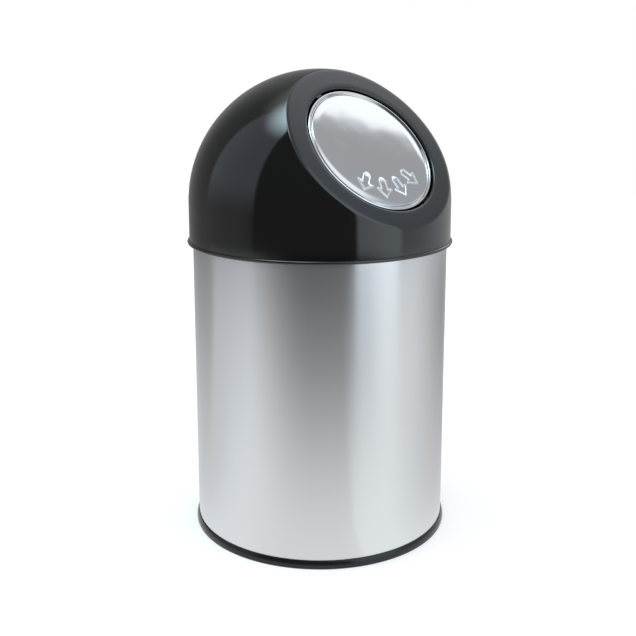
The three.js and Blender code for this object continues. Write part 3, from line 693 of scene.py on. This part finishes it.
def dome_surface(dome):
    """Outer skin, rolled bead and inner skin at each turn, as one closed grid."""
    turns = full_turn(240)
    outer = dome_skin(dome, turns, 0.0, lip=8, flat=3, rounding=10, bands=56)
    inner = dome_skin(dome, turns, dome.wall, lip=4, flat=1, rounding=5, bands=30)[:, ::-1]
    x, z = dome.reach - dome.bead, dome.foot + dome.bead
    skirt = chain((dome.radius, z + 16 * MM), (dome.radius, z + 8 * MM))
    bead = chain(skirt, arc(x, z, dome.bead, 100, -170, 24), (dome.radius - dome.wall, z + dome.bead))
    rolled = round_z(bead[:, 0], bead[:, 1], turns[:, None])
    return surface(np.concatenate([outer, rolled, inner], axis=1))


def collar_profile():
    """Section of the collar: rim at the skirt, flange on the tube's curl, guide inside the tube."""
    wall, bend, bevel = 1.2 * MM, 1.5 * MM, 0.3 * MM
    rim, guide = COLLAR_HIGH.x, 169.0 * MM
    foot, top = COLLAR_LOW.z, COLLAR_HIGH.z
    flange = foot + 21.0 * MM
    return chain(
        (guide - wall, foot + bevel), (guide - wall + bevel, foot), (guide, foot + bevel), (guide, flange),
        arc(rim - bend, flange + bend, bend, -90, 0, 5),
        (rim, top - bevel), (rim - bevel, top), (rim - wall, top - bevel),
        arc(rim - bend, flange + bend, bend - wall, 0, -90, 3),
        arc(guide - wall + bend, flange + wall - bend, bend, 90, 180, 5),
    )


class RECEPTACLE_OT_dome(bpy.types.Operator):
    """Builds the gloss black dome and the collar inside it"""

    bl_idname = "receptacle.dome"
    bl_label = "Dome and Collar"

    def execute(self, context):
        dome, finish = settings_of(context, "dome", "finish")
        enamel = new_material(
            "gloss black enamel", gloss_enamel, finish.enamel, finish.enamel_roughness, dome
        )
        plastic = new_material("collar plastic", moulded_plastic, finish.collar, 0.38, 700.0, 1.48)
        piece("dome", [dome_surface(dome)], enamel, "dome_paint", "lid", "dome_shell", sharp=40.0)
        collar = revolved(collar_profile(), 240)
        piece("collar", [collar], plastic, "collar_plastic", "lid", "lid_collar")
        return {"FINISHED"}


# ---- flap

ARROW_TURNS = np.radians([-39.0, -13.0, 13.0, 39.0])


def block_arrow(flap):
    """Corners of a block arrow that points away from the flap's middle, in (across, outwards)."""
    w, h = flap.mark_width / 2, flap.mark_height / 2
    stem, barb = 0.42 * w, 0.02 * h
    half = np.array([(w, barb), (stem, barb), (stem, -h)])
    return chain((0.0, h), half, half[::-1] * (-1, 1))


def edge_distance(x, y, corners):
    """Each point's distance from a closed outline: the least of those from its edges."""
    way = np.roll(corners, -1, axis=0) - corners
    dx, dy = x[..., None] - corners[:, 0], y[..., None] - corners[:, 1]
    s = np.clip((dx * way[:, 0] + dy * way[:, 1]) / (way**2).sum(axis=1), 0, 1)
    return np.hypot(dx - s * way[:, 0], dy - s * way[:, 1]).min(axis=-1)


def emboss(flap, turn, radius):
    """Height of the pressed lines: a rounded ridge along the outline of each arrow."""
    height = np.zeros(np.broadcast(turn, radius).shape)
    corners = block_arrow(flap)
    for middle in ARROW_TURNS:
        around = (turn - middle + np.pi) % (2 * np.pi) - np.pi
        outwards = radius * np.cos(around) - flap.mark_ring
        ridge = 1 - edge_distance(radius * np.sin(around), outwards, corners) / (flap.mark_line / 2)
        near = np.cos(around) > 0.5
        height = np.maximum(height, np.sin(np.clip(ridge, 0, 1) * np.pi / 2) ** 2 * near)
    return height * flap.mark_rise


def flap_surface(dome, flap):
    """Disc over (turn, radius): crowned, embossed panel, groove, rolled edge, turned-back rim, back."""
    fine = np.radians(np.linspace(-60, 60, 300, endpoint=False))
    coarse = np.radians(np.linspace(60, 300, 110, endpoint=False))
    turns = np.r_[fine, coarse][:, None]
    marks_in, marks_out, marks_step = 49 * MM, 78 * MM, 0.45 * MM
    bevel, fall, edge_rise, edge = 0.2 * MM, 0.4 * MM, 1.65 * MM, flap.edge + 0.7 * MM
    shoulder = flap.radius - 7.2 * MM
    bead_foot, bead = shoulder + 2.2 * MM, flap.radius - edge - bevel
    radii = np.r_[
        np.linspace(0, marks_in, 9, endpoint=False),
        np.arange(marks_in, marks_out, marks_step),
        np.linspace(marks_out, shoulder, 9, endpoint=False),
        np.linspace(shoulder, bead, 26),
    ]
    raised = eased(radii, bead_foot, bead)
    rise = flap.crown * (1 - (radii / flap.radius) ** 2)
    rise -= flap.groove * eased(radii, shoulder, shoulder + 1.6 * MM)
    rise -= fall * (np.clip(radii - 77 * MM, 0, None) / (10 * MM)) ** 2 * (1 - raised)
    rise += (flap.groove + 1.6 * MM) * raised
    front = flap.recess - rise - emboss(flap, turns, radii[None])
    inner = flap.radius - flap.wall
    back_radii = np.r_[np.linspace(inner - 1.2 * MM, shoulder, 8), np.linspace(shoulder, 0, 8)[1:]]
    pressed = eased(back_radii, shoulder - 0.8 * MM, shoulder + 1.2 * MM)
    back_depth = flap.recess + flap.wall + flap.groove * pressed
    sides = chain(
        arc(flap.radius - edge, edge_rise - flap.recess - edge, edge, 102, 0, 9),
        (flap.radius, -flap.rim_end + bevel), (flap.radius - bevel, -flap.rim_end),
        (inner - bevel, -flap.rim_end), (inner, -flap.rim_end + bevel), (inner, -back_depth[0] - 1.0 * MM),
        np.c_[back_radii, -back_depth],
    )
    radius = np.r_[radii, sides[:, 0]]
    depth = np.concatenate([front, -sides[None, :, 1] + 0 * turns], axis=1)
    return surface(on_face(dome, turns, radius, depth, dome.opening_drop), columns_close=False)


def stop_pieces(dome, flap, side):
    """The tab on the flap's rim and the rubber pad on it: outlines in (radius, depth) carried sideways."""
    turn = side * flap.stop_turn
    sideways = np.cross(face_axes(dome)[1], face_way(dome, turn))
    gap, wall = 0.3 * MM, flap.wall
    near, far = flap.radius - wall, flap.radius + 6.8 * MM
    top = dome.lip_depth + gap
    pad_foot = top + 2.0 * MM
    tab_top, tab_start = pad_foot + gap, flap.rim_end - wall
    tab = [
        (near, tab_start), (flap.radius, tab_start), (flap.radius, tab_top), (far, tab_top),
        (far, tab_top + wall), (near, tab_top + wall),
    ]
    near, far = flap.radius + gap, far - gap
    pad = [(near, top), (far, top), (far, pad_foot), (near, pad_foot)]
    return [
        ribbon(on_face(dome, turn, *np.transpose(outline), dome.opening_drop), width, sideways)
        for outline, width in ((tab, 14.0 * MM), (pad, 13.4 * MM))
    ]


class RECEPTACLE_OT_flap(bpy.types.Operator):
    """Builds the polished push flap with its embossed arrows and its stops"""

    bl_idname = "receptacle.flap"
    bl_label = "Push Flap"

    def execute(self, context):
        dome, flap, finish = settings_of(context, "dome", "flap", "finish")
        polish = new_material(
            "polished flap steel", polished_steel, finish.polish, finish.polish_roughness
        )
        rubber = new_material("stop rubber", matt_rubber, finish.rubber)
        stops = {name: stop_pieces(dome, flap, side) for name, side in SIDES.items()}
        shells = [flap_surface(dome, flap), *(tab for tab, _ in stops.values())]
        piece("push_flap", shells, polish, "flap_polish", "flap", "flap_panel", sharp=35.0)
        for name, (_, pad) in stops.items():
            piece(f"stop_pad_{name}", [pad], rubber, "stop_rubber", "flap", f"flap_stop_{name}")
        return {"FINISHED"}


# ---- hinge


def pin_place(dome, flap):
    """The hinge pin's middle."""
    centre, normal, slope = face_axes(dome)
    return centre + (dome.face_offset - flap.pin_depth) * normal + flap.pin_slope * slope


def pin_surface(middle):
    """The pin: chamfered ends and a groove near each for its clip, turned round Z and then laid along X."""
    radius, groove, chamfer = 2.0 * MM, 1.4 * MM, 0.4 * MM
    near, far, reach = 43.8 * MM, 45.2 * MM, PIN_HIGH.x
    half = chain(
        (radius, near), (groove, near), (groove, far), (radius, far), (radius, reach - chamfer),
        (radius - chamfer, reach), (0.0, reach),
    )
    points, quads = revolved(chain(half[::-1] * (1, -1), half), 40)
    return np.c_[points[:, 2], points[:, 1], -points[:, 0]] + middle, quads


def spring_path(dome, flap, side):
    """Centreline of a torsion spring: a leg on the face, a helix round the pin, a leg on the hinge leaf.

    The helix is (x, r cos a, r sin a) about the pin with x falling evenly as a grows; the legs touch it.
    Also returns where along the pin its two ends are.
    """
    wire, coil, pitch, gap, least_turns = flap.spring_wire, flap.spring_coil, 2.25 * MM, 0.3 * MM, 4.5
    leaf_wall = 1.2 * MM
    pin_y, pin_z = flap.pin_slope, -flap.pin_depth
    face_y, face_z = pin_y + 13.0 * MM, -dome.wall - gap - wire / 2
    leaf_back = flap.recess + flap.wall + gap + leaf_wall
    leaf_y, leaf_z = 62.0 * MM, -leaf_back - gap - wire / 2

    def touch(y, z):
        dy, dz = y - pin_y, z - pin_z
        return math.atan2(dz, dy) + math.acos(coil / math.hypot(dy, dz))

    start, finish = touch(face_y, face_z), touch(leaf_y, leaf_z)
    while finish < start + 2 * math.pi * least_turns:
        finish += 2 * math.pi
    turns = (finish - start) / (2 * math.pi)
    inner = 10.0 * MM
    outer = inner + turns * pitch
    a = np.linspace(start, finish, int(40 * turns))
    x = np.linspace(outer, inner, len(a))
    helix = np.c_[x, pin_y + coil * np.cos(a), pin_z + coil * np.sin(a)]
    local = chain(
        np.linspace((outer, face_y, face_z), helix[0], 12, endpoint=False),
        helix,
        np.linspace((inner, leaf_y, leaf_z), helix[-1], 20, endpoint=False)[::-1],
    )
    centre, normal, slope = face_axes(dome)
    world = centre + (dome.face_offset + local[:, 2:]) * normal + local[:, 1:2] * slope
    world[:, 0] = side * local[:, 0]
    return world, side * outer, side * inner


class RECEPTACLE_OT_hinge(bpy.types.Operator):
    """Builds the hinge pin and the torsion springs, and finishes the brackets, clips and leaf"""

    bl_idname = "receptacle.hinge"
    bl_label = "Hinge and Springs"

    def execute(self, context):
        dome, flap, finish = settings_of(context, "dome", "flap", "finish")
        plated = new_material("plated hinge steel", plated_steel, finish.hardware, 0.26, 500.0)
        wire_steel = new_material("spring wire", plated_steel, finish.spring, 0.3, 900.0)
        middle = pin_place(dome, flap)
        piece("pin", [pin_surface(middle)], plated, "hardware_steel", "lid", "hinge_pin")
        for name, side in SIDES.items():
            path, outer, inner = spring_path(dome, flap, side)
            path, radii = rounded_ends(path, flap.spring_wire / 2)
            coil = along(path, radii, 10, X_AXIS)
            names = f"spring_{name}", f"torsion_spring_{name}"
            spring = piece(names[0], [coil], wire_steel, "spring_steel", None, names[1])
            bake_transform(spring)
            finish_node(f"hinge_bracket_{name}", plated)
            finish_node(f"pin_clip_{name}", wire_steel)
        finish_node("flap_hinge_leaf", plated)
        return {"FINISHED"}


# ---- liner


def liner_profile(liner):
    """Section of the liner's wall: tapered, with its top edge curled outwards."""
    x, z = liner.reach - liner.curl, liner.top - liner.curl
    bore, foot_bore = x - liner.curl, liner.reach - 2 * liner.curl - liner.taper
    return chain(
        finer(chain((foot_bore, liner.foot), (bore, z)), 30 * MM)[:-1],
        arc(x, z, liner.curl, 180, -40, 18),
        arc(x, z, liner.curl - liner.wall, -40, 180, 14),
        finer(chain((bore + liner.wall, z), (foot_bore + liner.wall, liner.foot)), 30 * MM)[1:],
    )


def liner_base_profile():
    """Section of the liner's base: a disc with a shallow pressed ring and its rim turned down."""
    wall, bend, ring_width, ring_depth = 0.9 * MM, 2.0 * MM, 5.0 * MM, 0.6 * MM
    reach, top, low = BASE_HIGH.x, BASE_HIGH.z, BASE_LOW.z
    t = np.linspace(-1, 1, 13)
    ring = np.c_[0.8 * reach + ring_width * t, -ring_depth * (0.5 + 0.5 * np.cos(np.pi * t))]
    return chain(
        (0.0, top), (reach / 2, top), ring + (0.0, top),
        arc(reach - bend, top - bend, bend, 90, 0, 6),
        (reach, low), (reach - wall, low),
        arc(reach - bend, top - bend, bend - wall, 0, 90, 5),
        ring[::-1] + (0.0, top - wall), (reach / 2, top - wall), (0.0, top - wall),
    )


class RECEPTACLE_OT_liner(bpy.types.Operator):
    """Builds the galvanised liner and its base, and finishes its ears and rivets"""

    bl_idname = "receptacle.liner"
    bl_label = "Liner"

    def execute(self, context):
        liner, finish = settings_of(context, "liner", "finish")
        zinc = new_material("liner zinc", galvanised_sheet, finish.galvanised)
        plated = new_material("plated ear steel", plated_steel, finish.hardware, 0.3, 400.0)
        wall = revolved(liner_profile(liner), 240)
        piece("liner_tube", [wall], zinc, "galvanised", "liner", "liner_wall")
        base = revolved(liner_base_profile(), 192)
        piece("liner_floor", [base], zinc, "galvanised", "liner", "liner_base")
        for name in (*(f"bail_ear_{side}" for side in SIDES), *(f"ear_rivet_{k}" for k in range(1, 5))):
            finish_node(name, plated)
        return {"FINISHED"}


def bail_path(liner):
    """Centreline of the bail in its own plane: straight ends through the ears, bends, and a half circle.

    Points are added along it, then each inner one is drawn three times to the mean of its neighbours.
    """
    radius = liner.reach - liner.curl
    corner = liner.bail_corner / radius
    a = np.linspace(corner / 2, np.pi - corner / 2, 97)
    arch = np.c_[-radius * np.cos(a), radius * np.sin(a)]
    ear = liner.reach + 0.3 * MM
    near, bend = radius - 0.15 * liner.bail_corner, 0.12 * liner.bail_corner
    half = np.array([(near, bend), (ear, 0.0), (BAIL_HIGH.x, 0.0)])
    path = finer(chain(half[::-1] * (-1, 1), arch, half), 1.0 * MM)
    for _ in range(3):
        path[1:-1] = 0.25 * path[:-2] + 0.5 * path[1:-1] + 0.25 * path[2:]
    return path


class RECEPTACLE_OT_bail(bpy.types.Operator):
    """Builds the bail handle"""

    bl_idname = "receptacle.bail"
    bl_label = "Bail Handle"

    def execute(self, context):
        liner, finish = settings_of(context, "liner", "finish")
        wire_steel = new_material("bail wire", plated_steel, finish.hardware, 0.24, 600.0)
        drop = liner.pivot - liner.top - liner.bail_wire / 2 - 0.3 * MM
        rest = -math.asin(drop / (liner.reach - liner.curl))
        x, out = bail_path(liner).T
        path = np.c_[x, -out * math.cos(rest), liner.pivot + out * math.sin(rest)]
        path, radii = rounded_ends(path, liner.bail_wire / 2)
        across = np.array([0.0, math.sin(rest), math.cos(rest)])
        piece("bail", [along(path, radii, 16, across)], wire_steel, "hardware_steel", "bail", "bail_handle")
        return {"FINISHED"}


# ---- stage

# The studio's brightness by direction. Each stop is (degrees from the camera, growing to its right; light).
LEFT_WALL = (0.59, 0.64, 0.745)
RIGHT_PANEL = (1.45, 1.68, 1.82)
WALLS = [
    (-180, 0.32), (-160, 0.34), (-148, 0.27), (-135, 0.21), (-113, 0.22), (-110, LEFT_WALL), (0, LEFT_WALL),
    (31, RIGHT_PANEL), (70, RIGHT_PANEL), (75, (0.66, 0.75, 0.82)), (100, (0.64, 0.70, 0.76)),
    (106, (0.51, 0.52, 0.535)), (150, 0.50), (180, 0.32),
]
SKIRTING = [
    (-180, 0.30), (-120, 0.25), (-110, 0.30), (-70, 0.33), (-58, 0.24), (-55, 0.10), (29, 0.10),
    (31.5, (1.1, 1.2, 1.3)), (52, (1.3, 1.45, 1.55)), (68, (1.3, 1.5, 1.58)), (73, (0.72, 0.78, 0.86)),
    (110, (0.76, 0.80, 0.86)), (140, 0.6), (180, 0.30),
]
TOP = [
    (-180, 0.95), (-30, (0.95, 0.98, 1.0)), (12, (0.55, 0.57, 0.6)), (90, (0.55, 0.57, 0.6)), (125, 0.85),
    (180, 0.95),
]
FLAG_TOP = [
    (-180, 0.0), (-57.5, 0.0), (-56, 0.95), (-45, 0.95), (-9, 0.52), (28.5, 0.34), (30.5, 0.0), (180, 0.0),
]
FLAG_SIDES = [(-180, 0.0), (-57.5, 0.0), (-56, 1.0), (28.5, 1.0), (30.5, 0.0), (180, 0.0)]
FLAG_BLACK = (0.10, 0.10, 0.098)

# A white panel behind the object, whose near edge slants, and a strip of light above the right wall.
PANEL_WHITE = (1.56, 1.6, 1.64)
PANEL_EDGE, PANEL_LEVEL, PANEL_SLANT, PANEL_END = 119.5, 0.629, 32.0, (150, 175)
STRIP_SPAN, STRIP_LEVEL, STRIP_SHARE = ((84, 88), (101, 105)), (0.63, 0.70), 0.8

# The lamp above the camera's left: its direction, the span of its glow and its light.
LAMP_AZIMUTH, LAMP_ELEVATION, LAMP_GLOW = -76.0, 74.0, (3, 24)
LAMP_LIGHT = (5.6, 7.6, 8.4)

# The floor's painted light as other rays see it: a glow that is white close to the foot, fading to its
# middle and then to the skirting.
FLOOR_WHITE = [
    (-180, 0.82), (-134, 0.82), (-108, 0.86), (-85, (0.97, 1.0, 1.04)), (-72, (1.09, 1.12, 1.16)),
    (-60, (1.16, 1.19, 1.22)), (-45, (1.19, 1.21, 1.23)), (-20, (1.13, 1.14, 1.15)),
    (20.5, (1.12, 1.13, 1.14)), (23, (1.24, 1.27, 1.29)), (46, (1.23, 1.26, 1.28)),
    (58, (1.14, 1.17, 1.19)), (68, (1.06, 1.09, 1.11)), (80, (0.96, 0.99, 1.01)), (95, 0.86), (112, 0.77),
    (136, 0.62), (180, 0.8),
]
FLOOR_MIDDLE = [
    (-180, 0.5), (-134, 0.40), (-106, 0.42), (-103, (0.76, 0.79, 0.82)), (-60, (0.77, 0.795, 0.815)),
    (-52, 0.58), (-43, (0.26, 0.23, 0.21)), (-33, (0.12, 0.105, 0.095)), (-20, 0.01), (33, 0.01),
    (40, 0.20), (48, 0.66), (57, 1.12), (86, 1.16), (100, 0.88), (115, 0.56), (138, 0.32), (180, 0.5),
]
FLOOR_REACH = [
    (-180, 0.8), (-112, 0.7), (-100, 0.46), (-50, 0.42), (-40, 0.52), (-28, 0.70), (-8, 0.90), (18, 0.92),
    (34, 0.58), (90, 0.62), (180, 0.8),
]
FLOOR_FADE = [
    (0.0, 1.0), (0.03, 0.96), (0.075, 0.81), (0.13, 0.565), (0.22, 0.235), (0.33, 0.055), (0.46, 0.0),
]
FLOOR_END = (1.75, 2.3)
FOOT_RADIUS = 0.175
PAPER, PAPER_GLOW = (0.635, 0.6, 0.58, 1.0), (0.5, 0.5, 0.5, 1.0)


def round_camera(nodes, x, y, azimuth):
    """Direction as a share of a turn: 0.5 towards the camera, growing to its right."""
    across = x * math.cos(azimuth) + y * math.sin(azimuth)
    forward = x * math.sin(azimuth) - y * math.cos(azimuth)
    return nodes.maths("ARCTAN2", across, forward) / (2 * math.pi) + 0.5


def by_direction(nodes, turn, stops):
    """Light looked up by direction, with stops in degrees from the camera."""
    return nodes.ramp(turn, [((a + 180) / 360, v) for a, v in stops])


def make_world(stage):
    """White for the camera; for other rays soft walls, a dark flag behind the camera, a lamp above."""
    world = bpy.data.worlds.new("studio")
    bpy.context.scene.world = world
    nodes = Nodes(world)
    x, y, z = nodes.parts(nodes.add("ShaderNodeTexCoord", output="Generated"))
    turn = round_camera(nodes, x, y, stage.azimuth)
    degrees = (turn - 0.5) * 360
    panel_edge = PANEL_EDGE - (z - PANEL_LEVEL) * PANEL_SLANT
    panel = nodes.smooth(degrees - panel_edge, -0.9, 0.9) * (1 - nodes.smooth(degrees, *PANEL_END))
    strip = nodes.between(degrees, *STRIP_SPAN) * nodes.smooth(z, *STRIP_LEVEL)
    skirting, walls = by_direction(nodes, turn, SKIRTING), by_direction(nodes, turn, WALLS)
    low = nodes.blend(nodes.smooth(z, -0.14, 0.26), skirting, walls)
    middle = nodes.blend(strip * STRIP_SHARE + panel * nodes.smooth(z, 0.1, 0.35), low, PANEL_WHITE)
    high = nodes.blend(nodes.smooth(z, 0.76, 0.93), middle, by_direction(nodes, turn, TOP))
    a, e = stage.azimuth + math.radians(LAMP_AZIMUTH), math.radians(LAMP_ELEVATION)
    lamp = (math.sin(a) * math.cos(e), -math.cos(a) * math.cos(e), math.sin(e))
    apart = nodes.maths("ARCCOSINE", x * lamp[0] + y * lamp[1] + z * lamp[2])
    glow = 1 - nodes.smooth(apart, *map(math.radians, LAMP_GLOW))
    sky = nodes.blend(glow, high, LAMP_LIGHT)
    flag = 1 - nodes.smooth(z - by_direction(nodes, turn, FLAG_TOP), -0.02, 0.05)
    studio = nodes.blend(flag * by_direction(nodes, turn, FLAG_SIDES), sky, FLAG_BLACK)
    other = nodes.add("ShaderNodeBackground", {"Color": studio})
    white = nodes.add("ShaderNodeBackground", {"Color": (1.0, 1.0, 1.0, 1.0)})
    nodes.by_ray("ShaderNodeOutputWorld", white, other)


def studio_floor(nodes, place, stage):
    """Paper with the object's shadow for the camera; for other rays a painted pool of light round the foot
    that falls off into the studio.
    """
    x, y, _ = nodes.parts(place)
    turn = round_camera(nodes, x, y, stage.azimuth)
    out = (x * x + y * y) ** 0.5 - FOOT_RADIUS
    fade = nodes.ramp(out * by_direction(nodes, turn, FLOOR_REACH) / stage.floor_radius, FLOOR_FADE)
    white, middle, skirting = (by_direction(nodes, turn, t) for t in (FLOOR_WHITE, FLOOR_MIDDLE, SKIRTING))
    # Painted light: the floor's glow for other rays, brightest round the foot and fading outwards.
    light = nodes.blend(nodes.smooth(out, *FLOOR_END), nodes.blend(fade, middle, white), skirting)
    paper = nodes.add("ShaderNodeBsdfDiffuse", {"Color": PAPER})
    glow = nodes.add("ShaderNodeEmission", {"Color": PAPER_GLOW})
    camera = nodes.add("ShaderNodeAddShader", {0: paper, 1: glow})
    nodes.by_ray("ShaderNodeOutputMaterial", camera, nodes.add("ShaderNodeEmission", {"Color": light}))


def make_floor(stage):
    """A plain disc."""
    paper = new_material("studio floor", studio_floor, stage)
    points = round_z(np.array([0.0, 0.5, stage.floor_radius]), 0.0, full_turn(96)[:, None])
    floor = new_object("studio_floor", points.reshape(-1, 3), grid_quads(96, 3, True, False), paper)
    floor.data.validate()


def make_camera(stage):
    """The camera at the photograph's angle."""
    camera = bpy.data.cameras.new("camera")
    camera.lens = stage.lens
    camera.sensor_width = 36.0
    camera.shift_x, camera.shift_y = stage.shift_x, stage.shift_y
    camera.clip_start, camera.clip_end = 0.05, 50.0
    made = bpy.data.objects.new("camera", camera)
    bpy.context.scene.collection.objects.link(made)
    a = stage.azimuth
    made.location = (stage.distance * math.sin(a), -stage.distance * math.cos(a), stage.height)
    made.rotation_euler = (math.pi / 2 - stage.pitch, 0.0, a)
    bpy.context.scene.camera = made


class RECEPTACLE_OT_stage(bpy.types.Operator):
    """Sets up the white studio, its floor and the camera"""

    bl_idname = "receptacle.stage"
    bl_label = "Studio and Camera"

    def execute(self, context):
        stage, = settings_of(context, "stage")
        make_camera(stage)
        make_world(stage)
        make_floor(stage)
        context.scene.view_settings.view_transform = "Standard"
        return {"FINISHED"}


# ---- panel and registration


class RECEPTACLE_PT_panel(bpy.types.Panel):
    """Lists the operators and their settings"""

    bl_idname = "RECEPTACLE_PT_panel"
    bl_label = "Receptacle"
    bl_space_type = "VIEW_3D"
    bl_region_type = "UI"
    bl_category = "Receptacle"

    def draw(self, context):
        layout = self.layout
        for operator in OPERATORS:
            layout.operator(operator.bl_idname)
        for attribute, settings in SETTINGS.items():
            box = layout.box()
            box.label(text=settings.__doc__)
            group = getattr(context.scene, attribute)
            for name in settings.__annotations__:
                box.prop(group, name, text=name.replace("_", " ").capitalize())


SETTINGS = {
    "receptacle_body": ReceptacleBodySettings,
    "receptacle_dome": ReceptacleDomeSettings,
    "receptacle_flap": ReceptacleFlapSettings,
    "receptacle_liner": ReceptacleLinerSettings,
    "receptacle_finish": ReceptacleFinishSettings,
    "receptacle_stage": ReceptacleStageSettings,
}
OPERATORS = [
    RECEPTACLE_OT_stage, RECEPTACLE_OT_body, RECEPTACLE_OT_dome, RECEPTACLE_OT_flap, RECEPTACLE_OT_hinge,
    RECEPTACLE_OT_liner, RECEPTACLE_OT_bail,
]
CLASSES = [*SETTINGS.values(), *OPERATORS, RECEPTACLE_PT_panel]


def register():
    for added in CLASSES:
        bpy.utils.register_class(added)
    for attribute, settings in SETTINGS.items():
        setattr(bpy.types.Scene, attribute, bpy.props.PointerProperty(type=settings))


def unregister():
    for attribute in SETTINGS:
        delattr(bpy.types.Scene, attribute)
    for added in reversed(CLASSES):
        bpy.utils.unregister_class(added)


def main():
    """Registers the classes and builds everything in order."""
    register()
    for operator in OPERATORS:
        group, name = operator.bl_idname.split(".")
        getattr(getattr(bpy.ops, group), name)()


if __name__ == "__main__":
    main()
